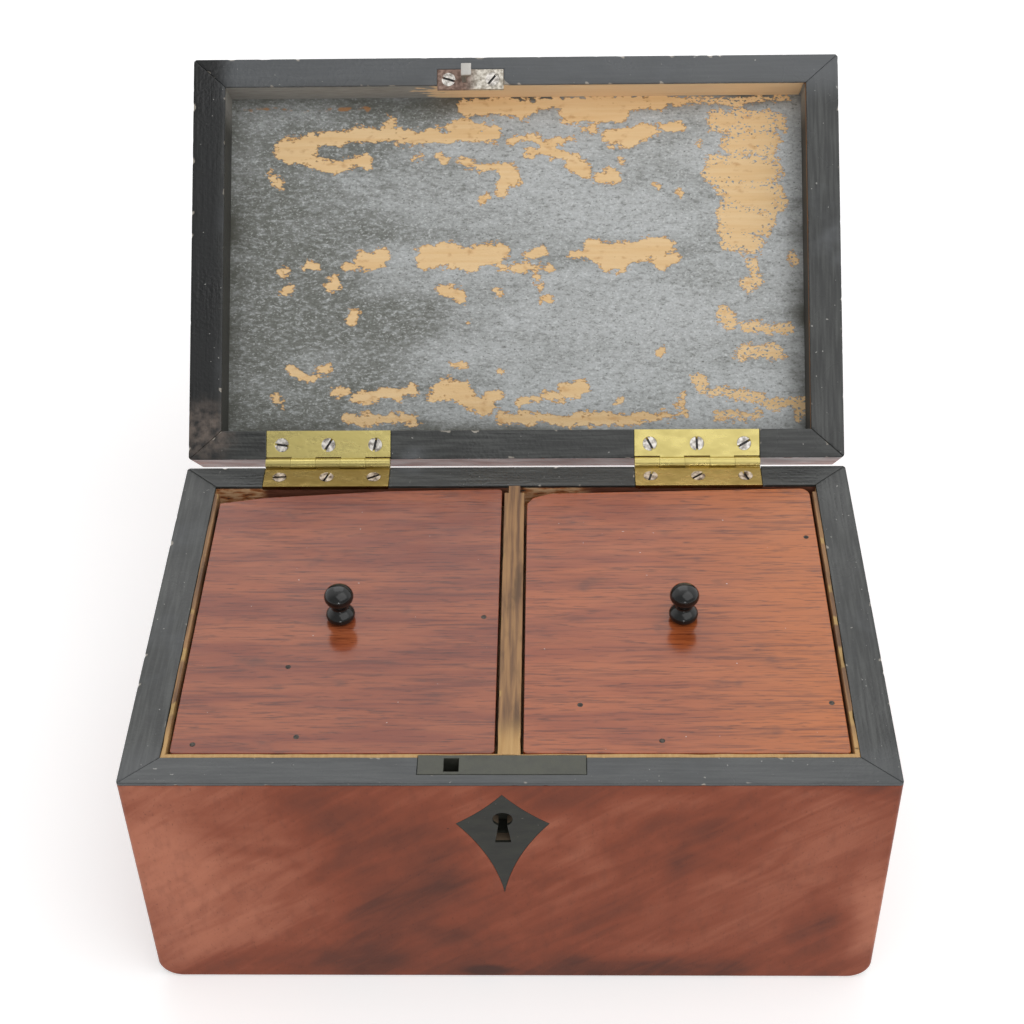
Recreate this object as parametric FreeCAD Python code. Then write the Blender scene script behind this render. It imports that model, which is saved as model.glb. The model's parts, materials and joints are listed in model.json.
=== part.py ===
"""Two-compartment tea caddy: a veneered box with a hinged lid, two lift-out inner lids and a box lock.

Millimetres, +Z up, +Y to the back. The origin is the centre of the case's underside.
The lid is modelled closed and then turned about the hinge pins to its open stop.
"""
import FreeCAD, Part
import math
import os

Vector = FreeCAD.Vector
os.makedirs("parts", exist_ok=True)

# Case: boards, veneer and edging
case_width = 200.0
case_depth = 125.5
case_height = 83.0
end_board = 9.1
long_board = 8.0
bottom_board = 8.0
veneer = 0.8
edging = 1.0
corner_round = 1.0
foot_round = 6.5
veneer_floor_gap = 0.4

# Lid: boards and lining
lid_panel = 7.2
lid_open_angle = 136.0
lid_top_round = 0.6
lid_lining = 0.25
parting_gap = 0.3

# Compartments: divider, rebated lining boards and foil
divider_core = 3.4
liner_shelf = 3.0
liner_lip = 1.3
liner_lip_drop = 0.9
foil = 0.25
foil_edge_drop = 0.5

# Inner lids, underboards, knobs and nails
inner_lid = 7.0
inner_lid_drop = 0.8
inner_lid_gap = 0.7
inner_lid_back_gap = 0.6
inner_lid_corner = 1.2
inner_lid_back_corners = {"left": 1.2, "right": 3.0}

# Each inner lid's back edge was planed to fit: places from its left edge, and the gap to the back wall there
inner_lid_back_edges = {
    "left": [(0.0, 6.7), (13.2, 4.2), (50.6, 1.2)],
    "right": [(0.0, 7.4), (1.8, 4.7), (7.0, 2.7)],
}
underboard = 5.0
underboard_gap = 0.8
knob_offset = 1.7
knob_front_offset = 3.0
knob_height = 11.6
knob_foot_radius = 4.15
knob_foot_height = 1.9
knob_foot_bead = 0.5
knob_waist_radius = 2.2
knob_waist_height = 4.6
knob_head_radius = 4.2
knob_rim_round = 1.9
knob_dome_rise = 2.8
knob_head_undercut = 75.0
knob_tenon_radius = 2.0
knob_tenon_cover = 2.0
knob_headroom = 2.1
nail_radius = 0.55
nail_head_radius = 0.9
nail_head = 0.6
nail_cover = 2.0

# Nail places from an inner lid's left and front edges, or if negative its right edge and the back wall
nail_insets = {
    "left": [(5.7, 3.1), (32.5, 5.7), (27.7, 31.1), (-4.1, 50.3)],
    "right": [(-3.1, -22.7), (-3.1, 17.6), (36.0, 4.3), (14.9, 17.0)],
}

# Hinges: leaves, knuckles and pins
hinge_end_insets = {"left": 42.9, "right": 44.7}
hinge_length = 38.0
hinge_leaf = 1.4
hinge_knuckles = 5
knuckle_radius = 1.8
pin_radius = 0.8
pin_overhang = 1.5
pin_running = 0.05
pin_tight = 0.01
knuckle_end_gap = 0.1
knuckle_side_gap = 0.3
hinge_screw_margin = 4.7

# Slotted screws: hinges, lock and catch
screw_head_radius = 2.15
screw_head_depth = 1.1
screw_shank_radius = 1.0
screw_length = 7.5
screw_slot_width = 0.6
screw_slot_depth = 0.5
screw_slot_turn = 37.0
screw_clearance = 0.03
lock_screw_length = 5.5

# Lock, in the front board
lock_x = -1.7
lock_length = 43.3
selvedge_width = 6.5
selvedge_overhang = 0.75
selvedge = 1.4
lock_plate = 1.0
lock_height = 26.0
lock_flange = 4.65
lock_case_wall = 0.8
selvedge_lap = 0.2
lock_screw_drop = 6.0
drill_pin_radius = 0.8
keyhole_drop = 14.2
keyhole_radius = 2.6
keyhole_neck_width = 1.6
keyhole_slot_width = 4.2
keyhole_slot_drop = 9.2
lock_fit = 0.05

# Lock bolt and the hook on the lid's catch plate
hook_inset = 4.0
hook_width = 3.1
hook_thickness = 3.7
hook_stem = 1.3
hook_length = 8.0
hook_bill = 1.7
hook_hole_gap = 0.4
bolt_gap = 0.3
bolt_travel = 4.0
bolt_nose_height = 2.2
bolt_nose_length = 5.0
bolt_end_gap = 0.4
bolt_pin_gap = 1.5
talon_width = 6.0
talon_depth = 3.6
spring_thickness = 0.4
spring_width = 2.0
spring_inset = 3.5
catch_length = 20.6
catch_width = 6.4
catch_overhang = 1.4
catch_hook_offset = 9.3
catch_plate = 1.2
catch_screw_inset = 3.5

# Kite escutcheon
kite_width = 24.4
kite_rise = 11.4
kite_fall = 28.7
kite_middle_drop = 15.8
kite_upper_hollow = 0.7
kite_lower_hollow = 2.0
inlay_fit = 0.03

# Places worked out from the sizes above
half_width = case_width / 2
half_depth = case_depth / 2
core_x = half_width - veneer
core_y = half_depth - veneer
inner_x = core_x - end_board
inner_y = core_y - long_board
board_top = case_height - edging
rim_z = case_height + parting_gap
lid_recess = knob_height - inner_lid_drop - parting_gap + knob_headroom + lid_lining
panel_z = rim_z + lid_recess
panel_top = panel_z + lid_panel
lid_top = panel_top + veneer
pin_y = half_depth + pin_overhang
pin_z = case_height + parting_gap / 2
lid_under = case_height - inner_lid_drop - inner_lid
hinge_x = {
    "left": hinge_end_insets["left"] - half_width,
    "right": half_width - hinge_end_insets["right"],
}
knob_tenon_length = inner_lid - knob_tenon_cover
nail_length = inner_lid + underboard - nail_cover
bow_z = case_height - keyhole_drop

# How far a cutting block runs past the piece that it cuts
margin = 5.0


def block(x0, x1, y0, y1, z0, z1):
    """Box between two corners."""
    return Part.makeBox(x1 - x0, y1 - y0, z1 - z0, Vector(x0, y0, z0))


def prism(points, z0, z1):
    """Upright prism on a closed outline of (x, y) points."""
    corners = [Vector(x, y, z0) for x, y in points]
    face = Part.Face(Part.makePolygon(corners + corners[:1]))
    return face.extrude(Vector(0, 0, z1 - z0))


def one_shape(shape):
    """The shape with its flat faces merged: a solid, or a compound of its solids."""
    solids = shape.removeSplitter().Solids
    return solids[0] if len(solids) == 1 else Part.makeCompound(solids)


def opened(shape):
    """A copy of a closed-lid shape, turned to the lid's open stop."""
    turned = shape.copy()
    turned.rotate(Vector(0, pin_y, pin_z), Vector(-1, 0, 0), lid_open_angle)
    return turned


def save(name, shape):
    shape.exportStep("parts/" + name + ".step")


def save_lid(name, shape):
    save(name, opened(one_shape(shape)))


def upright_edges(shape, places):
    """The upright edges of a shape that stand at the given (x, y) places."""
    found = []
    for edge in shape.Edges:
        first, last = edge.Vertexes[0].Point, edge.Vertexes[-1].Point
        if abs(first.z - last.z) < 1e-6:
            continue
        if any(abs(first.x - x) < 1e-6 and abs(first.y - y) < 1e-6 for x, y in places):
            found.append(edge)
    return found


def box_corners():
    return [(x, y) for x in (-half_width, half_width) for y in (-half_depth, half_depth)]


# Outer forms that every outside piece is trimmed to
case_form = block(-half_width, half_width, -half_depth, half_depth, 0, case_height)
foot_edges = [
    edge
    for edge in case_form.Edges
    if all(abs(v.Point.z) < 1e-6 for v in edge.Vertexes)
    and abs(edge.Vertexes[0].Point.x - edge.Vertexes[-1].Point.x) < 1e-6
]
case_form = case_form.makeFillet(foot_round, foot_edges)
case_form = case_form.makeFillet(corner_round, upright_edges(case_form, box_corners()))

lid_form = block(-half_width, half_width, -half_depth, half_depth, rim_z, lid_top)
lid_form = lid_form.makeFillet(corner_round, upright_edges(lid_form, box_corners()))
top_edges = [e for e in lid_form.Edges if all(abs(v.Point.z - lid_top) < 1e-6 for v in e.Vertexes)]
lid_form = lid_form.makeFillet(lid_top_round, top_edges)


def screw_body(length, clearance=0.0):
    """Countersunk screw along -Z with its head's face at z = 0, without the slot."""
    head = Part.makeCone(
        screw_shank_radius + clearance,
        screw_head_radius + clearance,
        screw_head_depth,
        Vector(0, 0, -screw_head_depth),
    )
    shank = Part.makeCylinder(
        screw_shank_radius + clearance, length + clearance, Vector(0, 0, -length - clearance)
    )
    return head.fuse(shank)


def slotted_screw(length, turn):
    slot = block(-margin, margin, -screw_slot_width / 2, screw_slot_width / 2, -screw_slot_depth, margin)
    slot.rotate(Vector(0, 0, 0), Vector(0, 0, 1), turn)
    return screw_body(length).cut(slot)


def placed(shape, place, axis=None, angle=0.0):
    """The shape turned about an axis through the origin, then moved to its place."""
    if axis is not None:
        shape.rotate(Vector(0, 0, 0), axis, angle)
    shape.translate(place)
    return shape


UP = (None, 0.0)
DOWN = (Vector(1, 0, 0), 180.0)
BACK = (Vector(1, 0, 0), -90.0)


def screw_set(places, facing, length=screw_length):
    """Screws with their heads at the given places, each slot turned further than the last."""
    screws = [
        placed(slotted_screw(length, index * screw_slot_turn), place, *facing)
        for index, place in enumerate(places)
    ]
    return Part.makeCompound(screws)


def screw_holes(places, facing, length=screw_length):
    holes = [placed(screw_body(length, screw_clearance), place, *facing) for place in places]
    return Part.makeCompound(holes)


def keyhole(y0, y1):
    """Keyhole along Y: a round bow above a slot that widens downwards."""
    along = Vector(0, 1, 0)
    bow = Part.makeCylinder(keyhole_radius, y1 - y0, Vector(lock_x, y0, bow_z), along)
    neck, foot = keyhole_neck_width / 2, keyhole_slot_width / 2
    end_z = bow_z - keyhole_slot_drop
    outline = [(-neck, bow_z), (neck, bow_z), (foot, end_z), (-foot, end_z)]
    corners = [Vector(lock_x + x, y0, z) for x, z in outline]
    slot = Part.Face(Part.makePolygon(corners + corners[:1])).extrude(along * (y1 - y0))
    return bow.fuse(slot)


def kite(y0, y1, grow):
    """Kite along Y with hollow sides, made larger all round by the given amount."""
    middle = case_height - kite_middle_drop
    tips = [
        (lock_x, middle + kite_rise + grow),
        (lock_x + kite_width / 2 + grow, middle),
        (lock_x, middle - kite_fall - grow),
        (lock_x - kite_width / 2 - grow, middle),
    ]
    hollows = (kite_upper_hollow, kite_lower_hollow, kite_lower_hollow, kite_upper_hollow)
    sides = []
    for (x0, z0), (x1, z1), hollow in zip(tips, tips[1:] + tips[:1], hollows):
        # The tips go round clockwise, so a side's right hand points into the kite
        inward = Vector(z1 - z0, 0, x0 - x1).normalize()
        half = Vector((x0 + x1) / 2, y0, (z0 + z1) / 2) + inward * (hollow - grow)
        sides.append(Part.Arc(Vector(x0, y0, z0), half, Vector(x1, y0, z1)).toShape())
    face = Part.Face(Part.Wire(sides))
    return face.extrude(Vector(0, y1 - y0, 0))


# Hinge places: screw rows, and the recesses that the leaves are let into
hinge_sides = ("left", "right")
hinge_screw_y = (half_depth + inner_y) / 2
hinge_screw_x = [
    hinge_x[side] + step * (hinge_length / 2 - hinge_screw_margin)
    for side in hinge_sides
    for step in (-1, 0, 1)
]
lower_screw_places = [Vector(x, hinge_screw_y, case_height) for x in hinge_screw_x]
upper_screw_places = [Vector(x, hinge_screw_y, rim_z) for x in hinge_screw_x]


def leaf_recess(z0, z1):
    """Recesses for both leaves of one kind, with room for the turning knuckles at the back."""
    recesses = []
    for side in hinge_sides:
        left = hinge_x[side] - hinge_length / 2 - lock_fit
        right = hinge_x[side] + hinge_length / 2 + lock_fit
        recesses.append(block(left, right, inner_y - margin, half_depth + margin, z0, z1))
        relief = knuckle_radius + knuckle_side_gap
        recesses.append(Part.makeCylinder(relief, right - left, Vector(left, pin_y, pin_z), Vector(1, 0, 0)))
    return recesses


lower_recess = leaf_recess(case_height - hinge_leaf, case_height + margin)
upper_recess = leaf_recess(rim_z - margin, rim_z + hinge_leaf)
lower_holes = screw_holes(lower_screw_places, UP)
upper_holes = screw_holes(upper_screw_places, DOWN)

# Lock places
lock_left = lock_x - lock_length / 2
lock_right = lock_x + lock_length / 2
liner_face_y = -inner_y
lock_back_y = liner_face_y + selvedge_overhang
selvedge_front_y = lock_back_y - selvedge_width
lock_plate_y = lock_back_y - lock_plate
lock_case_y = selvedge_front_y + selvedge_lap
lock_case_left = lock_left + lock_flange
lock_case_right = lock_right - lock_flange
lock_bottom = case_height - lock_height
selvedge_under = case_height - selvedge
lock_case_bottom = lock_bottom + lock_case_wall
lock_screw_places = [
    Vector(x, lock_back_y, z)
    for x in (lock_left + lock_flange / 2, lock_right - lock_flange / 2)
    for z in (case_height - lock_screw_drop, lock_bottom + lock_screw_drop)
]
lock_holes = screw_holes(lock_screw_places, BACK, lock_screw_length)
selvedge_recess = block(
    lock_left - lock_fit,
    lock_right + lock_fit,
    selvedge_front_y - lock_fit,
    lock_back_y + lock_fit,
    selvedge_under,
    case_height + margin,
)
plate_recess = block(
    lock_left - lock_fit,
    lock_right + lock_fit,
    lock_plate_y,
    lock_back_y + lock_fit,
    lock_bottom - lock_fit,
    case_height + margin,
)
case_mortise = block(
    lock_case_left - lock_fit,
    lock_case_right + lock_fit,
    lock_case_y - lock_fit,
    lock_plate_y + margin,
    lock_case_bottom - lock_fit,
    case_height + margin,
)

# Hook and hole line up: the hole is the hook with a gap all round
hook_x = lock_case_left + hook_inset
hook_left = hook_x - hook_width / 2
hook_right = hook_x + hook_width / 2
hook_y = (lock_case_y + lock_case_wall + lock_plate_y) / 2
hook_front = hook_y - hook_thickness / 2
hook_back = hook_y + hook_thickness / 2
hook_hole = block(
    hook_left - hook_hole_gap,
    hook_right + hook_hole_gap,
    hook_front - hook_hole_gap,
    hook_back + hook_hole_gap,
    selvedge_under - margin,
    case_height + margin,
)


def rim_strips(z0, z1):
    """Four mitred edging strips between the outside of the box and the inside of its walls."""
    outer = [(-half_width, -half_depth), (half_width, -half_depth)]
    outer += [(half_width, half_depth), (-half_width, half_depth)]
    inner = [(-inner_x, -inner_y), (inner_x, -inner_y), (inner_x, inner_y), (-inner_x, inner_y)]
    strips = {}
    for index, name in enumerate(("front", "right", "back", "left")):
        after = (index + 1) % 4
        strips[name] = prism([outer[index], outer[after], inner[after], inner[index]], z0, z1)
    return strips


# Case boards: the long boards overlap the ends, and all four stand on the bottom
front = block(-core_x, core_x, -core_y, -inner_y, bottom_board, board_top).common(case_form)
front = front.cut([selvedge_recess, plate_recess, case_mortise, lock_holes])
front = front.cut(keyhole(-half_depth - margin, lock_case_y + margin))
save("front_board", one_shape(front))

back = block(-core_x, core_x, inner_y, core_y, bottom_board, board_top).common(case_form)
save("back_board", one_shape(back.cut(lower_recess + [lower_holes])))

for side, sign in (("left", -1), ("right", 1)):
    near, far = sorted((sign * inner_x, sign * core_x))
    end = block(near, far, -inner_y, inner_y, bottom_board, board_top)
    save(side + "_board", one_shape(end.common(case_form)))

bottom = block(-core_x, core_x, -core_y, core_y, 0, bottom_board).common(case_form)
save("bottom_board", one_shape(bottom))

# Case veneers: front and back run the full width, the ends fit between them
front_veneer = block(-half_width, half_width, -half_depth, -core_y, veneer_floor_gap, board_top)
front_veneer = front_veneer.common(case_form).cut(kite(-half_depth - margin, margin - core_y, inlay_fit))
save("front_veneer", one_shape(front_veneer))

back_veneer = block(-half_width, half_width, core_y, half_depth, veneer_floor_gap, board_top)
save("back_veneer", one_shape(back_veneer.common(case_form).cut(lower_recess)))

for side, sign in (("left", -1), ("right", 1)):
    near, far = sorted((sign * core_x, sign * half_width))
    end_veneer = block(near, far, -core_y, core_y, veneer_floor_gap, board_top)
    save(side + "_veneer", one_shape(end_veneer.common(case_form)))

# Kite escutcheon, inlaid flush with the front veneer
escutcheon = kite(-half_depth, -core_y, 0.0).cut(keyhole(-half_depth - margin, margin - core_y))
save("escutcheon", one_shape(escutcheon))

# Case edging, cut away for the hinge leaves and the lock's selvedge
case_strips = rim_strips(board_top, case_height)
case_strips["front"] = case_strips["front"].cut(selvedge_recess)
case_strips["back"] = case_strips["back"].cut(lower_recess)
for name, strip in case_strips.items():
    save(name + "_edging", one_shape(strip.common(case_form)))

# Divider core and the rebated lining boards of each compartment
divider_face = divider_core / 2
lip_top = case_height - liner_lip_drop
divider = block(-divider_face, divider_face, -inner_y, inner_y, bottom_board, lip_top)
save("compartment_divider", one_shape(divider.cut(plate_recess)))


def lining(side, sign):
    """Lining boards and foil of one compartment, and the plan of the room inside its lips."""
    far_x, near_x = sign * inner_x, sign * divider_face
    low, high = sorted((far_x, near_x))
    shelf = [low + liner_shelf, high - liner_shelf, -inner_y + liner_shelf, inner_y - liner_shelf]
    lip = [low + liner_lip, high - liner_lip, -inner_y + liner_lip]
    room = block(lip[0], lip[1], lip[2], inner_y + margin, lid_under, lip_top + margin)
    boards = [
        block(low, high, -inner_y, shelf[2], bottom_board, lip_top),
        block(low, high, shelf[3], inner_y, bottom_board, lid_under),
        block(low, shelf[0], shelf[2], shelf[3], bottom_board, lip_top),
        block(shelf[1], high, shelf[2], shelf[3], bottom_board, lip_top),
    ]
    boards = [one_shape(board.cut([room, plate_recess])) for board in boards]
    save(side + "_lining_boards", Part.makeCompound(boards))
    foil_top = lid_under - foil_edge_drop
    tray = block(shelf[0], shelf[1], shelf[2], shelf[3], bottom_board, foil_top)
    inside = [shelf[0] + foil, shelf[1] - foil, shelf[2] + foil, shelf[3] - foil]
    hollow = block(*inside, bottom_board + foil, foil_top + margin)
    save(side + "_foil_lining", one_shape(tray.cut(hollow)))
    return lip, inside


def knob():
    """Turned knob on its axis: tenon below z = 0, ringed foot, waist and domed head above."""

    def at(radius, z):
        return Vector(radius, 0, z)

    def on_rim(turn):
        turn = math.radians(turn)
        return at(head_x + knob_rim_round * math.cos(turn), head_z + knob_rim_round * math.sin(turn))

    ring = knob_foot_radius - knob_foot_bead
    foot_top = at(ring, knob_foot_height)
    tenon_end = at(knob_tenon_radius, -knob_tenon_length)

    # The dome is a ball's cap that runs smoothly into the rounded rim of the head
    head_x = knob_head_radius - knob_rim_round
    head_z = knob_height - knob_dome_rise
    dome = (knob_dome_rise**2 + head_x**2 - knob_rim_round**2) / (2 * (knob_dome_rise - knob_rim_round))
    meet = math.degrees(math.atan2(dome - knob_dome_rise, head_x))
    half = math.radians((meet + 90) / 2)
    dome_half = at(dome * math.cos(half), knob_height - dome + dome * math.sin(half))
    outline = [
        Part.LineSegment(at(0, -knob_tenon_length), tenon_end),
        Part.LineSegment(tenon_end, at(knob_tenon_radius, 0)),
        Part.LineSegment(at(knob_tenon_radius, 0), at(ring, 0)),
        Part.Arc(at(ring, 0), at(knob_foot_radius, knob_foot_height / 2), foot_top),
        Part.Arc(foot_top, at(knob_waist_radius, knob_waist_height), on_rim(-knob_head_undercut)),
        Part.Arc(on_rim(-knob_head_undercut), on_rim(0), on_rim(meet)),
        Part.Arc(on_rim(meet), dome_half, at(0, knob_height)),
        Part.LineSegment(at(0, knob_height), at(0, -knob_tenon_length)),
    ]
    profile = Part.Face(Part.Wire([piece.toShape() for piece in outline]))
    return profile.revolve(Vector(0, 0, 0), Vector(0, 0, 1), 360)


def nail():
    head = Part.makeCylinder(nail_head_radius, nail_head, Vector(0, 0, -nail_head))
    return head.fuse(Part.makeCylinder(nail_radius, nail_length, Vector(0, 0, -nail_length)))


def from_edge(low, high, inset):
    """A place set back from the low edge, or from the high edge if the inset is negative."""
    return low + inset if inset > 0 else high + inset


# Inner lids: board, underboard held by nails, and knob
for side, sign in (("left", -1), ("right", 1)):
    lip, inside = lining(side, sign)
    x0, x1 = lip[0] + inner_lid_gap, lip[1] - inner_lid_gap
    y0, y1 = lip[2] + inner_lid_gap, inner_y - inner_lid_back_gap
    lid_face = lid_under + inner_lid
    back_edge = [(x0 + along, inner_y - gap) for along, gap in inner_lid_back_edges[side]]
    board = prism([(x0, y0), (x1, y0), (x1, y1)] + back_edge[::-1], lid_under, lid_face)
    board = board.makeFillet(inner_lid_corner, upright_edges(board, [(x0, y0), (x1, y0)]))
    board = board.makeFillet(inner_lid_back_corners[side], upright_edges(board, [(x1, y1)]))
    ux0, ux1 = inside[0] + underboard_gap, inside[1] - underboard_gap
    uy0 = inside[2] + underboard_gap
    uy1 = min([inside[3] - underboard_gap] + [y for x, y in back_edge])
    under = block(ux0, ux1, uy0, uy1, lid_under - underboard, lid_under)
    knob_place = Vector((x0 + x1) / 2 + sign * knob_offset, (y0 + inner_y) / 2 - knob_front_offset, lid_face)
    nail_places = [
        Vector(from_edge(x0, x1, across), from_edge(y0, inner_y, along), lid_face)
        for across, along in nail_insets[side]
    ]
    nails = Part.makeCompound([placed(nail(), place) for place in nail_places])
    tenon = Part.makeCylinder(
        knob_tenon_radius, knob_tenon_length, knob_place - Vector(0, 0, knob_tenon_length)
    )
    save(side + "_inner_lid", one_shape(board.cut([nails, tenon])))
    save(side + "_underboard", one_shape(under.cut(nails)))
    save(side + "_nails", nails)
    save(side + "_knob", placed(knob(), knob_place))


def knuckle_places(side, own):
    """X spans of a leaf's knuckles: the even-numbered ones, or the odd ones between them."""
    pitch = hinge_length / hinge_knuckles
    start = hinge_x[side] - hinge_length / 2
    return [(start + n * pitch, start + (n + 1) * pitch) for n in range(hinge_knuckles) if n % 2 == own]


def leaf(side, own, z0, z1, bore):
    """One hinge leaf: a plate with its knuckles, notched to clear the other leaf's knuckles."""
    left, right = hinge_x[side] - hinge_length / 2, hinge_x[side] + hinge_length / 2
    along = Vector(1, 0, 0)
    plate = block(left, right, inner_y, pin_y, z0, z1)
    notches = [
        block(
            start - knuckle_end_gap,
            stop + knuckle_end_gap,
            pin_y - knuckle_radius - knuckle_side_gap,
            pin_y + margin,
            z0 - margin,
            z1 + margin,
        )
        for start, stop in knuckle_places(side, 1 - own)
    ]
    knuckles = [
        Part.makeCylinder(knuckle_radius, stop - start, Vector(start, pin_y, pin_z), along)
        for start, stop in knuckle_places(side, own)
    ]
    pin_bore = Part.makeCylinder(bore, right - left + 2 * margin, Vector(left - margin, pin_y, pin_z), along)
    return plate.cut(notches).fuse(knuckles).cut(pin_bore)


# Hinges: lower leaves and pins stay with the case, upper leaves go with the lid
for side in hinge_sides:
    lower = leaf(side, 0, case_height - hinge_leaf, case_height, pin_radius + pin_tight)
    save(side + "_hinge_lower_leaf", one_shape(lower.cut(lower_holes)))
    upper = leaf(side, 1, rim_z, rim_z + hinge_leaf, pin_radius + pin_running)
    save_lid(side + "_hinge_upper_leaf", upper.cut(upper_holes))
    pin_start = Vector(hinge_x[side] - hinge_length / 2, pin_y, pin_z)
    save(side + "_hinge_pin", Part.makeCylinder(pin_radius, hinge_length, pin_start, Vector(1, 0, 0)))
save("hinge_lower_screws", screw_set(lower_screw_places, UP))
save("hinge_upper_screws", opened(screw_set(upper_screw_places, DOWN)))

# Lock: selvedge and back plate in one piece, with the case in front of them
selvedge_bar = block(lock_left, lock_right, selvedge_front_y, lock_back_y, selvedge_under, case_height)
back_plate = block(lock_left, lock_right, lock_plate_y, lock_back_y, lock_bottom, case_height)
save("lock_plate", one_shape(selvedge_bar.fuse(back_plate).cut([hook_hole, lock_holes])))

lock_case = block(
    lock_case_left, lock_case_right, lock_case_y, lock_plate_y, lock_case_bottom, selvedge_under
)
lock_room = block(
    lock_case_left + lock_case_wall,
    lock_case_right - lock_case_wall,
    lock_case_y + lock_case_wall,
    lock_plate_y + margin,
    lock_case_bottom + lock_case_wall,
    selvedge_under + margin,
)
lock_case = lock_case.cut([lock_room, keyhole(lock_case_y - margin, lock_case_y + lock_case_wall)])
save("lock_case", one_shape(lock_case))
save("lock_screws", screw_set(lock_screw_places, BACK, lock_screw_length))

drill_pin = Part.makeCylinder(
    drill_pin_radius,
    lock_plate_y - lock_case_y,
    Vector(lock_x, lock_plate_y, bow_z),
    Vector(0, -1, 0),
)
save("lock_drill_pin", drill_pin)

# Bolt, drawn back from the hook: thrown, its nose lies on the hook's bill
nose_under = rim_z - hook_length + hook_bill + bolt_gap
nose_top = nose_under + bolt_nose_height
nose_tip = hook_left + hook_stem + bolt_gap + bolt_travel
bolt_y0 = lock_case_y + lock_case_wall + bolt_gap
bolt_y1 = lock_plate_y - bolt_gap
tail = nose_tip + bolt_nose_length
bolt_end = lock_case_right - lock_case_wall - bolt_end_gap
bolt_under = bow_z + drill_pin_radius + bolt_pin_gap
nose = block(nose_tip, tail, bolt_y0, bolt_y1, nose_under, nose_top)
bolt_body = block(tail, bolt_end, bolt_y0, bolt_y1, bolt_under, nose_top)
talon_x = lock_x + bolt_travel / 2
talon = block(
    talon_x - talon_width / 2,
    talon_x + talon_width / 2,
    bolt_y0 - margin,
    bolt_y1 + margin,
    bolt_under - margin,
    bolt_under + talon_depth,
)
save("lock_bolt", one_shape(nose.fuse(bolt_body).cut(talon)))

# Bow spring on top of the bolt, just under the selvedge
spring_rise = selvedge_under - bolt_gap - nose_top
spring_y = (bolt_y0 + bolt_y1 - spring_width) / 2
spring_ends = [
    Vector(tail + spring_inset, spring_y, nose_top),
    Vector((tail + bolt_end) / 2, spring_y, nose_top + spring_rise - spring_thickness),
    Vector(bolt_end - spring_inset, spring_y, nose_top),
]
lift = Vector(0, 0, spring_thickness)
spring_outline = Part.Wire([
    Part.Arc(*spring_ends).toShape(),
    Part.LineSegment(spring_ends[2], spring_ends[2] + lift).toShape(),
    Part.Arc(*[point + lift for point in reversed(spring_ends)]).toShape(),
    Part.LineSegment(spring_ends[0] + lift, spring_ends[0]).toShape(),
])
save("lock_bolt_spring", Part.Face(spring_outline).extrude(Vector(0, spring_width, 0)))

# Catch plate and hook, let into the lid's front rail
catch_left = hook_x - catch_hook_offset
catch_right = catch_left + catch_length
catch_back = liner_face_y + catch_overhang
catch_front = catch_back - catch_width
catch_screw_places = [
    Vector(x, (catch_front + catch_back) / 2, rim_z)
    for x in (catch_left + catch_screw_inset, catch_right - catch_screw_inset)
]
catch_holes = screw_holes(catch_screw_places, DOWN)
catch_recess = block(
    catch_left - lock_fit,
    catch_right + lock_fit,
    catch_front - lock_fit,
    catch_back + lock_fit,
    rim_z - margin,
    rim_z + catch_plate,
)
catch = block(catch_left, catch_right, catch_front, catch_back, rim_z, rim_z + catch_plate)
stem = block(hook_left, hook_left + hook_stem, hook_front, hook_back, rim_z - hook_length, rim_z)
bill_top = rim_z - hook_length + hook_bill
bill = block(hook_left, hook_right, hook_front, hook_back, rim_z - hook_length, bill_top)
save_lid("lid_catch_plate", catch.cut(catch_holes).fuse([stem, bill]))
save("lid_catch_screws", opened(screw_set(catch_screw_places, DOWN)))

# Lid boards: four rails under the top board
rail_z = rim_z + edging
lid_rails = {
    "front": block(-core_x, core_x, -core_y, -inner_y, rail_z, panel_z).cut([catch_recess, catch_holes]),
    "back": block(-core_x, core_x, inner_y, core_y, rail_z, panel_z).cut(upper_recess + [upper_holes]),
    "left": block(-core_x, -inner_x, -inner_y, inner_y, rail_z, panel_z),
    "right": block(inner_x, core_x, -inner_y, inner_y, rail_z, panel_z),
}
for name, rail in lid_rails.items():
    save_lid("lid_" + name + "_rail", rail)
lid_board = block(-core_x, core_x, -core_y, core_y, panel_z, panel_top)
save_lid("lid_top_board", lid_board.cut([upper_holes, catch_holes]))

# Lid veneers and edging
lid_veneers = {
    "top": block(-half_width, half_width, -half_depth, half_depth, panel_top, lid_top),
    "front": block(-half_width, half_width, -half_depth, -core_y, rail_z, panel_top),
    "back": block(-half_width, half_width, core_y, half_depth, rail_z, panel_top).cut(upper_recess),
    "left": block(-half_width, -core_x, -core_y, core_y, rail_z, panel_top),
    "right": block(core_x, half_width, -core_y, core_y, rail_z, panel_top),
}
for name, sheet in lid_veneers.items():
    save_lid("lid_" + name + "_veneer", sheet.common(lid_form))

lid_strips = rim_strips(rim_z, rail_z)
lid_strips["front"] = lid_strips["front"].cut(catch_recess)
lid_strips["back"] = lid_strips["back"].cut(upper_recess)
for name, strip in lid_strips.items():
    save_lid("lid_" + name + "_edging", strip.common(lid_form))

# Foil lining on the lid's panel, inside its rails
lid_foil = block(-inner_x, inner_x, -inner_y, inner_y, panel_z - lid_lining, panel_z)
save_lid("lid_foil_lining", lid_foil)
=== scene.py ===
import json
import math

import bmesh
import bpy
import numpy as np
from mathutils import Matrix, Vector, noise
from mathutils.geometry import convex_hull_2d


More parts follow.
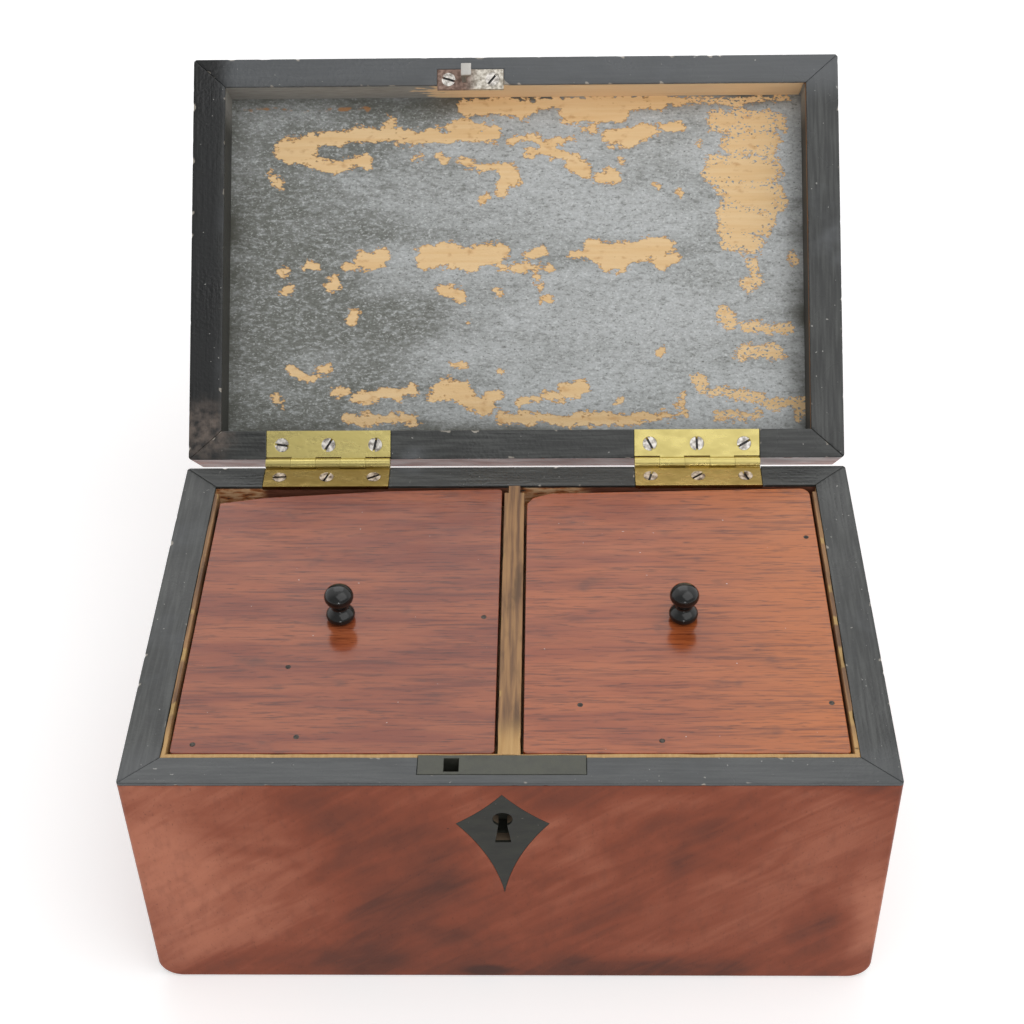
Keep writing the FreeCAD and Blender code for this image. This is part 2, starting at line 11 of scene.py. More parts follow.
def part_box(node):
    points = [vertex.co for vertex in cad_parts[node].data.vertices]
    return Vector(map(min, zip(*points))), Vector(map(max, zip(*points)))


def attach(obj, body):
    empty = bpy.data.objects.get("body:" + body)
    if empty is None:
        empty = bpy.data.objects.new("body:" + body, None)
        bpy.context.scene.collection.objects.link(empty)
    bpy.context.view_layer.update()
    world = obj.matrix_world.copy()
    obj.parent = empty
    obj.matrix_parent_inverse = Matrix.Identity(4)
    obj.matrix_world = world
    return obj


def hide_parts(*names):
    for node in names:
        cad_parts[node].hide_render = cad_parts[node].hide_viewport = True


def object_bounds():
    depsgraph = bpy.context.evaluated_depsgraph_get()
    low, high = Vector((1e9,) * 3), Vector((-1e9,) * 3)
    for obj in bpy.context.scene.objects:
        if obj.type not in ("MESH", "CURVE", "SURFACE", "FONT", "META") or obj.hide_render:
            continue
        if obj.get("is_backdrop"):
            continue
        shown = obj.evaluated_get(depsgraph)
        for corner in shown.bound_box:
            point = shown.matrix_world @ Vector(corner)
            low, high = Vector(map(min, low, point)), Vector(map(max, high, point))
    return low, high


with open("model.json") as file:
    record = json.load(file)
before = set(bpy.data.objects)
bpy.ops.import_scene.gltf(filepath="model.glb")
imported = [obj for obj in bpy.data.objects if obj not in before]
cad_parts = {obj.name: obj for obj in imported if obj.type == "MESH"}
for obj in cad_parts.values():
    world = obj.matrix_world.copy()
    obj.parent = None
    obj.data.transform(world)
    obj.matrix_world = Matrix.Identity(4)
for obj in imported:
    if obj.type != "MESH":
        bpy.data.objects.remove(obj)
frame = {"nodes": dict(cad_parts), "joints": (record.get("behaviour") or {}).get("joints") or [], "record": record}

cad_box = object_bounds()

# Case and lid boards: sawn softwood, glued into a tray for the case and a shallower one for the lid.
# Veneer and edging cover them outside, so only the underside and their inner edges show.
MM = 0.001
WELD = 1e-6
bodies = frame["record"]["behaviour"]["bodies"]
body_of = {node: body for body, nodes in bodies.items() for node in nodes}
hinge = next(joint for joint in frame["joints"] if joint["name"] == "lid_hinge")
pin_axis = Vector(hinge["pos_m"])
lid_turn = math.radians(-hinge["range_deg"][0])
close_lid = Matrix.Translation(pin_axis) @ Matrix.Rotation(lid_turn, 4, "X") @ Matrix.Translation(-pin_axis)
open_lid = close_lid.inverted()


def colour(code):
    """Linear colour of an sRGB hex value."""
    channels = [int(code[place:place + 2], 16) / 255 for place in (1, 3, 5)]
    linear = [c / 12.92 if c <= 0.04045 else ((c + 0.055) / 1.055) ** 2.4 for c in channels]
    return (*linear, 1.0)


def add(nodes, kind, inputs=(), **settings):
    """One new node: settings are its own options, inputs fill its sockets with a value or a link."""
    node = nodes.new(kind)
    for option, value in settings.items():
        setattr(node, option, value)
    for socket, value in dict(inputs).items():
        if isinstance(value, bpy.types.NodeSocket):
            nodes.id_data.links.new(value, node.inputs[socket])
        else:
            node.inputs[socket].default_value = value
    return node


def start_finish(name, on_lid=False):
    """A new material: its nodes, its shader, and the place on the piece with the lid taken as closed."""
    finish = bpy.data.materials.new(name)
    finish.use_nodes = True
    nodes = finish.node_tree.nodes
    place = add(nodes, "ShaderNodeTexCoord").outputs["Object"]
    if on_lid:
        back = close_lid.to_translation()
        turned = {"Vector": place, "Location": back, "Rotation": (lid_turn, 0, 0)}
        place = add(nodes, "ShaderNodeMapping", turned).outputs[0]
    return finish, nodes, nodes["Principled BSDF"], place


def speckle(nodes, place, size, detail=3.0, warp=0.0):
    """Noise whose cells have the given size in mm along X, Y and Z."""
    scale = tuple(1 / (length * MM) for length in size)
    cells = add(nodes, "ShaderNodeMapping", {"Vector": place, "Scale": scale}).outputs[0]
    inputs = {"Vector": cells, "Scale": 1.0, "Detail": detail, "Distortion": warp}
    return add(nodes, "ShaderNodeTexNoise", inputs).outputs[0]


EASED = {"interpolation_type": "SMOOTHSTEP"}


def stretch(value, low, high, start=0.0, end=1.0):
    """Socket values that turn low to high of a value into start to end."""
    return {"Value": value, "From Min": low, "From Max": high, "To Min": start, "To Max": end}


def tint(nodes, base, over, pattern, low=None, high=None, most=1.0):
    """Lays a colour over a base by a share, or by up to most where a pattern goes from low to high."""
    share = pattern
    if low is not None:
        inputs = stretch(pattern, low, high, 0.0, most)
        share = add(nodes, "ShaderNodeMapRange", inputs, **EASED).outputs[0]
    first, second = [colour(shade) if isinstance(shade, str) else shade for shade in (base, over)]
    return add(nodes, "ShaderNodeMix", {0: share, 6: first, 7: second}, data_type="RGBA").outputs[2]


def fade(nodes, place, axis, start, end, low=0.0, high=1.0):
    """A value that eases from low to high, either of which may be a pattern, between two places in mm."""
    along = add(nodes, "ShaderNodeSeparateXYZ", {0: place}).outputs[axis]
    inputs = stretch(along, start * MM, end * MM, low, high)
    return add(nodes, "ShaderNodeMapRange", inputs, **EASED).outputs[0]


def vary(nodes, shader, socket, pattern, low, high, start, end):
    """Lets the shader's shine or metal go from start to end where a pattern goes from low to high."""
    inputs = stretch(pattern, low, high, start, end)
    value = add(nodes, "ShaderNodeMapRange", inputs, **EASED)
    nodes.id_data.links.new(value.outputs[0], shader.inputs[socket])


def dress(nodes, shader, base, depth, height, finer=None, share=0.5):
    """Gives the shader its colour, and a relief depth mm deep from one pattern or a mix of two."""
    if finer is not None:
        height = tint(nodes, height, finer, share)
    relief = add(nodes, "ShaderNodeBump", {"Height": height, "Distance": depth * MM})
    nodes.id_data.links.new(relief.outputs[0], shader.inputs["Normal"])
    nodes.id_data.links.new(base, shader.inputs["Base Color"])


def bare_pine(name, on_lid=False, darker_above=None):
    """Softwood, planed and left bare: tan, with brown growth lines, and darker above a given height: grime, with
    painted shade as well inside the keyhole.
    """
    finish, nodes, shader, place = start_finish(name, on_lid)
    lines = speckle(nodes, place, (60, 2.2, 2.2), 4)
    darker_share = speckle(nodes, place, (14, 9, 9), 4)
    wood = tint(nodes, "#c9a26c", "#8f6a40", lines, 0.35, 0.7)
    wood = tint(nodes, wood, "#5f4831", darker_share, 0.5, 0.75, 0.6)
    if darker_above is not None:
        darkening = tint(nodes, "#7a6a56", "#4a3d31", darker_share)
        wood = tint(nodes, wood, darkening, fade(nodes, place, "Z", darker_above - 5, darker_above))
    shader.inputs["Roughness"].default_value = 0.75
    dress(nodes, shader, wood, 0.15, lines)
    return finish


def paint(finish, *names):
    """Gives CAD pieces that keep their own shape their finish."""
    for name in names:
        for slot in frame["nodes"][name].material_slots:
            slot.material = finish


pine = bare_pine("bare_softwood")
paint(pine, "left_board", "right_board")
paint(bare_pine("floor_soiled_softwood", darker_above=0), "bottom_board")
# Partly painted shade: the front board darkens from 35 mm up, grime round the keyhole and painted shade inside it.
paint(bare_pine("keyhole_grime_and_shade_softwood", darker_above=40), "front_board")

finish, nodes, shader, place = start_finish("stained_back_board")
torn = speckle(nodes, place, (4, 2, 1.2), 6)
red = tint(nodes, "#7d4d3a", "#54301f", speckle(nodes, place, (9, 2, 1), 4))
# Partly painted light: the torn patches are real, but their tan is painted paler to lift the shade below the rim.
pale = tint(nodes, "#a8683a", "#d9b48a", torn, 0.4, 0.6)
pale = tint(nodes, pale, "#3f3a33", torn, 0.42, 0.32)
base = tint(nodes, red, pale, fade(nodes, place, "X", -74, -77))
at_divider = fade(nodes, place, "X", -4, 2, 0, fade(nodes, place, "X", 24, 18))
shader.inputs["Roughness"].default_value = 0.6
dress(nodes, shader, tint(nodes, base, pale, at_divider), 0.4, torn)
paint(finish, "back_board")
paint(bare_pine("bare_lid_softwood", True), "lid_top_board")

# Lid rails: the inner walls of the lid, once papered with the lining foil up to the rim.
# Most of the grey paper is left at the sides, and the front wall is rubbed to pale wood on the right; paper and
# wood on the front wall are painted paler as painted light against the shade there.
SIDES = ("front", "back", "left", "right")
finish, nodes, shader, place = start_finish("papered_lid_wall", True)
# Painted light: the wood's near-white tan and the front wall's paler paper lift the shade that falls on that wall.
wood = tint(nodes, "#f4d8b0", "#e0b888", speckle(nodes, place, (40, 1.5, 1.5), 4))
front_wall_light_and_wear = fade(nodes, place, "Y", -40, -52)
dark_paper = tint(nodes, "#2f2f2b", "#75736d", front_wall_light_and_wear)
pale_paper = tint(nodes, "#4a4a45", "#a8a6a0", front_wall_light_and_wear)
paper = tint(nodes, dark_paper, pale_paper, speckle(nodes, place, (5, 1.2, 1.2), 4))
rubbed = front_wall_light_and_wear
for start, end in ((-45, 5), (89.8, 89.0)):
    rubbed = fade(nodes, place, "X", start, end, 0, rubbed)
fibres = speckle(nodes, place, (7, 2, 2), 5)
ragged = add(nodes, "ShaderNodeMath", {0: rubbed, 1: fibres}, operation="ADD").outputs[0]
base = tint(nodes, paper, wood, ragged, 0.75, 0.85)
right_rim = fade(nodes, place, "X", 89, 90, 0, fade(nodes, place, "Z", 86.5, 84.5))
shader.inputs["Roughness"].default_value = 0.65
dress(nodes, shader, tint(nodes, base, "#8a5c34", right_rim), 0.2, ragged)
paint(finish, *["lid_" + side + "_rail" for side in SIDES])

# Case and lid veneers: thin knife-cut mahogany, glued on and French polished.
# Flame figure gives it soft orange clouds and brown-grey shadows under a satin shine.
VENEER_CLOUDS = [
    # across, up, half width and half height in mm, and how much paler or darker
    (-95, 48, 16, 44, 0.55),
    (-72, 40, 22, 34, 0.22),
    (-30, 62, 20, 24, -0.16),
    (-34, 26, 20, 24, -0.28),
    (-18, 50, 10, 26, -0.30),
    (-44, 9, 24, 11, -0.30),
    (-24, 14, 10, 7, 0.25),
    (-11, 27, 10, 8, 0.25),
    (-7, 3, 7, 2.5, -0.75),
    (5, 14, 26, 16, -0.30),
    (26, 62, 20, 22, 0.02),
    (24, 34, 22, 16, -0.18),
    (44, 48, 4, 14, -0.25),
    (35, 4, 40, 8, -0.30),
    (70, 9, 30, 12, -0.28),
    (84, 26, 10, 12, -0.25),
    (98, 32, 10, 26, 0.65),
]
CLOUD_DEPTH = 25


def sway(nodes, place, size, detail, warp, low, high, reach):
    """Noise that swings from minus its reach to plus its reach as it goes from low to high."""
    inputs = stretch(speckle(nodes, place, size, detail, warp), low, high, -reach, reach)
    return add(nodes, "ShaderNodeMapRange", inputs, **EASED).outputs[0]


def round_patch(nodes, place, centre, reach, edge, core, most):
    """A soft patch: most inside its core, nothing past its edge, both as shares of its reach in mm."""
    scale = tuple(1 / (length * MM) for length in reach)
    shift = tuple(-where * MM * each for where, each in zip(centre, scale))
    spot = add(nodes, "ShaderNodeMapping", {"Vector": place, "Scale": scale, "Location": shift}).outputs[0]
    far = add(nodes, "ShaderNodeVectorMath", {0: spot}, operation="LENGTH").outputs["Value"]
    inputs = stretch(far, edge, core, 0.0, most)
    return add(nodes, "ShaderNodeMapRange", inputs, **EASED).outputs[0]


def mahogany_veneer(name, on_lid=False, figure=(30, 24, 5), turn=(0, 38, 0), grain=(2.2, 2.2, 5)):
    """Polished mahogany veneer: red-brown, clouded and nicked, its pores drawn coarse enough to show."""
    finish, nodes, shader, place = start_finish(name, on_lid)
    angles = tuple(math.radians(angle) for angle in turn)
    turned = add(nodes, "ShaderNodeMapping", {"Vector": place, "Rotation": angles}).outputs[0]
    broad = sway(nodes, place, (48, 48, 34), 4, 0.8, 0.25, 0.75, 0.4)
    flame = sway(nodes, turned, figure, 5, 0.8, 0.3, 0.7, 0.17)
    tone = add(nodes, "ShaderNodeMath", {0: broad, 1: flame}, operation="ADD").outputs[0]
    if not on_lid:
        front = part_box("front_veneer")[0].y / MM
        tone = add(nodes, "ShaderNodeMath", {0: tone, 1: 0.8}, operation="MULTIPLY").outputs[0]
        for x, z, half_width, half_height, weight in VENEER_CLOUDS:
            reach = (half_width, CLOUD_DEPTH, half_height)
            cloud = round_patch(nodes, place, (x, front, z), reach, 1.5, 0.0, weight)
            tone = add(nodes, "ShaderNodeMath", {0: tone, 1: cloud}, operation="ADD").outputs[0]
    base = tint(nodes, "#7f3c23", "#ac694f", tone, -0.1, 0.9)
    base = tint(nodes, base, "#462419", tone, 0.1, -0.8)
    base = tint(nodes, base, "#5a2b1b", speckle(nodes, place, grain, 5), 0.45, 0.75, 0.20)
    pores = speckle(nodes, place, tuple(length / 4 for length in grain), 3)
    base = tint(nodes, base, "#341b12", pores, 0.60, 0.75, 0.35)
    base = tint(nodes, base, "#33201a", speckle(nodes, place, (3.0, 3.0, 1.4), 1), 0.80, 0.84, 0.7)
    vary(nodes, shader, "Roughness", speckle(nodes, place, (12, 12, 8), 3), 0.3, 0.7, 0.28, 0.40)
    shader.inputs["Specular IOR Level"].default_value = 0.2
    dress(nodes, shader, base, 0.10, speckle(nodes, place, (16, 16, 11), 2), pores, 0.3)
    return finish


veneer = mahogany_veneer("french_polished_mahogany")
lid_veneer = mahogany_veneer("french_polished_lid_mahogany", True)
top_veneer = mahogany_veneer("french_polished_lid_top", True, (60, 8, 24), (0, 0, 14), (16, 1.6, 1.6))
paint(veneer, *[side + "_veneer" for side in SIDES])
paint(lid_veneer, *["lid_" + side + "_veneer" for side in SIDES])
paint(top_veneer, "lid_top_veneer")

# Case edging: thin hardwood strips stained black, mitred round the rim and waxed.
# Years of use have left pale chips along the arrises; the front strip is painted paler grey as painted sheen, and
# the grey scuffs are partly painted sheen.


def clean_copy(node):
    """A CAD piece's triangles welded into one tidy mesh, with the lid's pieces turned shut."""
    shape = bmesh.new()
    shape.from_mesh(frame["nodes"][node].data)
    bmesh.ops.remove_doubles(shape, verts=shape.verts, dist=WELD)
    bmesh.ops.dissolve_limit(shape, angle_limit=math.radians(1), verts=shape.verts, edges=shape.edges)
    if body_of[node] == "main_lid":
        bmesh.ops.transform(shape, matrix=close_lid, verts=shape.verts)
    return shape


def mitre_faces(shape):
    """The faces of a strip that are cut at 45 degrees in plan."""
    return {face for face in shape.faces if abs(face.normal.x) > 0.7 and abs(face.normal.y) > 0.7}


def ease_arrises(shape, width, steps=2, glued=0.0, level_only=False):
    """Rounds sharp edges by a width in mm, but for those of a mitre or within the glued mm of the middle."""
    mitred = set() if level_only else mitre_faces(shape)
    sharp = []
    for edge in shape.edges:
        if not (edge.is_manifold and edge.is_convex) or edge.calc_face_angle() < math.radians(30):
            continue
        start, end = [vertex.co for vertex in edge.verts]
        upright = level_only and abs(start.z - end.z) > WELD
        inside = max(abs(start.x), abs(end.x)) < glued * MM
        if not upright and not inside and not mitred.intersection(edge.link_faces):
            sharp.append(edge)
    bmesh.ops.bevel(shape, geom=sharp, offset=width * MM, segments=steps, profile=0.5, affect="EDGES")


def cut_across(shape, axis, step):
    """Cuts a shape square across its length every step mm, so that its arrises can wear unevenly."""
    along = [vertex.co[axis] for vertex in shape.verts]
    low, high = min(along), max(along)
    square = Vector([float(index == axis) for index in range(3)])
    count = int((high - low) / (step * MM))
    for cut in range(1, count):
        point = square * (low + (high - low) * cut / count)
        everything = shape.verts[:] + shape.edges[:] + shape.faces[:]
        bmesh.ops.bisect_plane(shape, geom=everything, dist=WELD / 10, plane_co=point, plane_no=square)


def wear_arrises(shape, depth, patch, seed, from_noise=0.25, glued=0.0):
    """Sinks rounded edges by up to depth mm where the noise runs high, and keeps how much in "wear"."""
    kept = shape.verts.layers.float.new("wear")
    shape.normal_update()
    mitred = mitre_faces(shape)
    for vertex in shape.verts:
        bend = max((edge.calc_face_angle(0.0) for edge in vertex.link_edges), default=0.0)
        fixed = abs(vertex.co.x) < glued * MM or mitred.intersection(vertex.link_faces)
        if fixed or bend < math.radians(15):
            continue
        spot = vertex.co / (patch * MM) + Vector((seed, 0, 0))
        # A broader noise at half strength gathers the chips in groups.
        broad = noise.noise(spot * 0.35)
        chip = max(0.0, noise.noise(spot) + 0.5 * broad - from_noise)
        vertex.co -= vertex.normal * chip * depth * MM
        vertex[kept] = chip


def finished(shape, name, finish, *stands_for):
    """Makes a shape an object that rides with, replaces and is finished as the CAD pieces it stands for."""
    if body_of[stands_for[0]] == "main_lid":
        bmesh.ops.transform(shape, matrix=open_lid, verts=shape.verts)
    mesh = bpy.data.meshes.new(name)
    shape.to_mesh(mesh)
    shape.free()
    return finished_mesh(mesh, name, finish, *stands_for)


def finished_mesh(mesh, name, finish, *stands_for):
    """Makes a mesh that is already in place such an object, smooth but for its sharp edges."""
    mesh.shade_smooth()
    mesh.set_sharp_from_angle(angle=math.radians(40))
    mesh.materials.clear()
    mesh.materials.append(finish)
    piece = bpy.data.objects.new(name, mesh)
    bpy.context.scene.collection.objects.link(piece)
    piece.modifiers.new("flat_faces_stay_flat", "WEIGHTED_NORMAL").keep_sharp = True
    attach(piece, body_of[stands_for[0]])
    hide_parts(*stands_for)
    return piece


def ebonised(name, on_lid, scuff_and_sheen_share, grain):
    """Black-stained hardwood: blue-black, with scuffs that are partly painted sheen, a paler front that is painted
    sheen, on the lid a near-black left side that is painted shade, and pale specks and bare wood on its worn
    arrises.
    """
    finish, nodes, shader, place = start_finish(name, on_lid)
    streaks = speckle(nodes, place, grain, 6, 0.3)
    base = tint(nodes, "#252726", "#424442", streaks, 0.35, 0.75)
    scuffs = speckle(nodes, place, (22, 22, 22), 4)
    # Partly painted sheen: the grey scuffs are real, but their share is raised to stand for the wax's shine.
    base = tint(nodes, base, "#74777b", scuffs, 0.55, 0.8, scuff_and_sheen_share)
    # Painted sheen: the front strip is painted paler grey, more on the lid, for the shine it shows.
    front_sheen_share = 0.7 if on_lid else 0.35
    base = tint(nodes, base, "#5d6063", fade(nodes, place, "Y", -46, -58, 0, front_sheen_share))
    if on_lid:
        # Painted shade: the lid's left strip is painted near-black, for the shade on that side.
        base = tint(nodes, base, "#0d0f10", fade(nodes, place, "X", -86, -94))
        corner = (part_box("lid_foil_lining")[0].x / MM - 5, 54, pin_axis.z / MM)
        patch = round_patch(nodes, place, corner, (10, 10, 10), 1.3, 0.3, 1.0)
        base = tint(nodes, base, "#665b53", speckle(nodes, place, (2.6, 2.6, 2.6), 6), 0.25, 0.7, patch)
    specks = speckle(nodes, place, (1.1, 1.1, 1.1), 1)
    base = tint(nodes, base, "#a4a39e", specks, 0.76, 0.80, 0.7)
    worn = add(nodes, "ShaderNodeAttribute", attribute_name="wear").outputs["Fac"]
    base = tint(nodes, base, "#a8a196", worn, 0.08, 0.2, 0.8)
    vary(nodes, shader, "Roughness", scuffs, 0.3, 0.75, 0.22, 0.45)
    dress(nodes, shader, base, 0.14, streaks, specks)
    return finish


STRIP_ROUND = 0.22
CHIP_STEP, CHIP_DEPTH, CHIP_SIZE = 1.0, 0.5, 1.8
SEED_STEP = 7.3
LONG_GRAIN, END_GRAIN = (14, 0.9, 3), (0.9, 14, 3)
STRIP_RUNS = {"front": "long", "right": "short", "back": "long", "left": "short"}


def worn_strip(node, finish, seed, from_noise):
    """An edging strip with its arrises rounded and chipped, cut finely enough for the chips."""
    strip = clean_copy(node)
    ease_arrises(strip, STRIP_ROUND)
    for axis in (0, 1):
        cut_across(strip, axis, CHIP_STEP)
    wear_arrises(strip, CHIP_DEPTH, CHIP_SIZE, seed, from_noise)
    finished(strip, node + "_worn", finish, node)


edging = {
    "long": ebonised("ebonised_case_edging", False, 0.3, LONG_GRAIN),
    "short": ebonised("ebonised_case_end_edging", False, 0.3, END_GRAIN),
}
for number, (side, run) in enumerate(STRIP_RUNS.items()):
    worn_strip(side + "_edging", edging[run], seed=SEED_STEP * number, from_noise=0.46)

# Escutcheon: a kite of black-stained wood let into the front veneer, pierced with a keyhole.
# It is scraped flush and has the same satin wax, with a few pale nicks.
finish, nodes, shader, place = start_finish("ebonised_escutcheon")
streaks = speckle(nodes, place, (5, 5, 2), 4)
base = tint(nodes, "#232420", "#30312b", streaks, 0.3, 0.75)
base = tint(nodes, base, "#8d877c", speckle(nodes, place, (1.4, 1.4, 0.6), 2), 0.72, 0.78, 0.5)
vary(nodes, shader, "Roughness", streaks, 0.3, 0.7, 0.32, 0.5)
shader.inputs["Specular IOR Level"].default_value = 0.25
dress(nodes, shader, base, 0.06, streaks)
kite = clean_copy("escutcheon")
ease_arrises(kite, width=0.08, steps=1)
finished(kite, "escutcheon_kite", finish, "escutcheon")

# Divider and lining boards: thin oak-brown boards that line both compartments and stop below the rim.
# Their top edges were sawn by hand and have broken away here and there, paler where freshly torn.
lining_wood, nodes, shader, place = start_finish("sawn_lining_board")
lines = speckle(nodes, place, (1.1, 26, 1.1), 4)
base = tint(nodes, "#aa8157", "#6e503a", lines, 0.3, 0.7)
torn = add(nodes, "ShaderNodeAttribute", attribute_name="wear").outputs["Fac"]
base = tint(nodes, base, "#b8965f", torn, 0.15, 0.4)
base = tint(nodes, base, "#57412c", speckle(nodes, place, (4, 12, 6), 4), 0.48, 0.72, 0.7)
clean_wood = tint(nodes, "#d9b57c", "#a87a45", lines)
base = tint(nodes, base, clean_wood, fade(nodes, place, "Y", -38, -50))
shader.inputs["Roughness"].default_value = 0.6
dress(nodes, shader, base, 0.25, lines)
LIP_BELOW_RIM, LIP_DEPTH = 0.15, 1.0
LIP_WAVE, LIP_CREST, LIP_WAVE_LENGTH = 0.35, 0.1, 9
GLUE_SPREAD = 0.05
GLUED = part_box("compartment_divider")[1].x / MM + GLUE_SPREAD
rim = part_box("front_edging")[1].z


def raise_lips(shape):
    """Brings the sawn top edges up to just under the rim, as unevenly as a hand plane leaves them."""
    top = max(vertex.co.z for vertex in shape.verts)
    for vertex in shape.verts:
        if vertex.co.z > top - LIP_DEPTH * MM:
            wave = min(noise.noise(vertex.co / (LIP_WAVE_LENGTH * MM)), LIP_CREST)
            vertex.co.z += rim - top + (LIP_WAVE * wave - LIP_BELOW_RIM) * MM


divider = clean_copy("compartment_divider")
for axis, step in ((0, 0.8), (1, 1.2)):
    cut_across(divider, axis, step)
wear_arrises(divider, depth=0.35, patch=4, seed=3.1, from_noise=0.1, glued=GLUED)
raise_lips(divider)
finished(divider, "compartment_divider_torn", lining_wood, "compartment_divider")
for number, side in enumerate(("left", "right")):
    boards = clean_copy(side + "_lining_boards")
    ease_arrises(boards, width=0.15, steps=1, glued=GLUED)
    for axis, step in ((0, 1.5), (1, 1.2)):
        cut_across(boards, axis, step)
    wear_arrises(boards, depth=0.35, patch=4, seed=4 + 5 * number, from_noise=0.05, glued=GLUED)
    raise_lips(boards)
    finished(boards, side + "_lining_boards_torn", lining_wood, side + "_lining_boards")

# Compartment foil: thin lead-grey foil pasted inside each compartment to keep the tea dry.
# It is dull and finely creased, with a soft metal sheen.
finish, nodes, shader, place = start_finish("tea_foil_tray")
creases = speckle(nodes, place, (6, 6, 4), 5, 1.5)
vary(nodes, shader, "Roughness", creases, 0.3, 0.7, 0.35, 0.55)
shader.inputs["Metallic"].default_value = 0.7
dress(nodes, shader, tint(nodes, "#6d7072", "#9a9d9e", creases), 0.3, creases)
paint(finish, "left_foil_lining", "right_foil_lining")

# Inner lids: solid mahogany boards, each planed to fit its own compartment and finished with hard polish.
# The right one is more orange than the left, and both mirror the light above them.


def polished_lid(name, light, mid, dark, pore, orange_side):
    """Polished solid mahogany: dark flecks along X under a clear gloss, its pores wide enough to show."""
    finish, nodes, shader, place = start_finish(name)
    base = tint(nodes, mid, light, speckle(nodes, place, (45, 6, 6), 4, 0.4), 0.32, 0.68)
    base = tint(nodes, base, "#c06c30", fade(nodes, place, "X", 30, 90, 0, orange_side))
    streaks = speckle(nodes, place, (17, 0.9, 0.9), 5)
    base = tint(nodes, base, dark, streaks, 0.46, 0.74, 0.7)
    pores = speckle(nodes, place, (6.5, 0.5, 0.5), 4, 0.5)
    base = tint(nodes, base, pore, pores, 0.52, 0.72, 0.65)
    base = tint(nodes, base, "#4a2a22", speckle(nodes, place, (12, 8, 8), 3), 0.62, 0.78, 0.45)
    base = tint(nodes, base, "#cfc4ba", speckle(nodes, place, (1.6, 1.2, 1.2), 1), 0.815, 0.83)
    vary(nodes, shader, "Roughness", speckle(nodes, place, (15, 11, 11), 3), 0.3, 0.7, 0.13, 0.22)
    dress(nodes, shader, base, 0.03, streaks, pores)
    return finish


def unbored(node):
    """A flat board with the outline of a convex CAD piece, without the holes bored in it."""
    bored = clean_copy(node)
    heights = [vertex.co.z for vertex in bored.verts]
    places = [vertex.co.to_2d() for vertex in bored.verts]
    bored.free()
    board = bmesh.new()
    underside = [board.verts.new((*places[index], min(heights))) for index in convex_hull_2d(places)]
    raised = bmesh.ops.extrude_face_region(board, geom=[board.faces.new(underside)])["geom"]
    for item in raised:
        if isinstance(item, bmesh.types.BMVert):
            item.co.z = max(heights)
    bmesh.ops.remove_doubles(board, verts=board.verts, dist=20 * WELD)
    bmesh.ops.recalc_face_normals(board, faces=board.faces)
    bmesh.ops.dissolve_limit(board, angle_limit=math.radians(1), verts=board.verts, edges=board.edges)
    return board


lid_finishes = {
    "left": polished_lid("polished_left_lid", "#a65a37", "#884028", "#582319", "#431a11", 0.0),
    "right": polished_lid("polished_right_lid", "#b05f36", "#96492a", "#642b16", "#451c0e", 0.85),
}
for side, finish in lid_finishes.items():
    board = unbored(side + "_inner_lid")
    ease_arrises(board, width=0.3, level_only=True)
    finished(board, side + "_inner_lid_polished", finish, side + "_inner_lid")
    paint(pine, side + "_underboard")

# Nails: small iron nails through each inner lid into the board below it.
# Their domed heads stand a hair above the polish, dark and spotted with rust.
NAIL_HEAD = 0.9
NAIL_DOME = 0.2
NAIL_SUNK = 0.1


def islands(node):
    """Lowest and highest corner of each separate solid in a CAD piece, with the lid turned shut."""
    shape = clean_copy(node)
    waiting = set(shape.verts)
    boxes = []
    while waiting:
        group = [waiting.pop()]
        for vertex in group:
            for edge in vertex.link_edges:
                other = edge.other_vert(vertex)
                if other in waiting:
                    waiting.remove(other)
                    group.append(other)
        corners = np.array([vertex.co for vertex in group])
        boxes.append((Vector(corners.min(0)), Vector(corners.max(0))))
    shape.free()
    return sorted(boxes, key=lambda box: box[0].to_tuple())


def spread(tree, name, places, turns, sizes, finish, *stands_for):
    """Runs a fastener tree on points at the given places and keeps the result as one plain mesh."""
    points = bpy.data.meshes.new(name + "_points")
    points.from_pydata(places, [], [])
    turned = points.attributes.new("turned", "FLOAT_VECTOR", "POINT")
    turned.data.foreach_set("vector", [angle for turn in turns for angle in turn])
    carrier = bpy.data.objects.new(name + "_points", points)
    bpy.context.scene.collection.objects.link(carrier)
    modifier = carrier.modifiers.new("fasteners", "NODES")
    modifier.node_group = tree
    values = {**sizes, "Finish": finish}
    for item in tree.interface.items_tree:
        if item.in_out == "INPUT" and item.name in values:
            modifier[item.identifier] = values[item.name]
    evaluated = carrier.evaluated_get(bpy.context.evaluated_depsgraph_get())
    mesh = bpy.data.meshes.new_from_object(evaluated)
    mesh.name = name
    bpy.data.objects.remove(carrier)
    if body_of[stands_for[0]] == "main_lid":
        mesh.transform(open_lid)
    return finished_mesh(mesh, name, finish, *stands_for)


def fastener_tree(name, sizes):
    """An empty geometry tree with named sizes in metres, a finish, and its input and output nodes."""
    tree = bpy.data.node_groups.new(name, "GeometryNodeTree")
    tree.interface.new_socket("Geometry", in_out="INPUT", socket_type="NodeSocketGeometry")
    for size in sizes:
        tree.interface.new_socket(size, in_out="INPUT", socket_type="NodeSocketFloat")
    tree.interface.new_socket("Finish", in_out="INPUT", socket_type="NodeSocketMaterial")
    tree.interface.new_socket("Geometry", in_out="OUTPUT", socket_type="NodeSocketGeometry")
    return tree, tree.nodes, add(tree.nodes, "NodeGroupInput").outputs


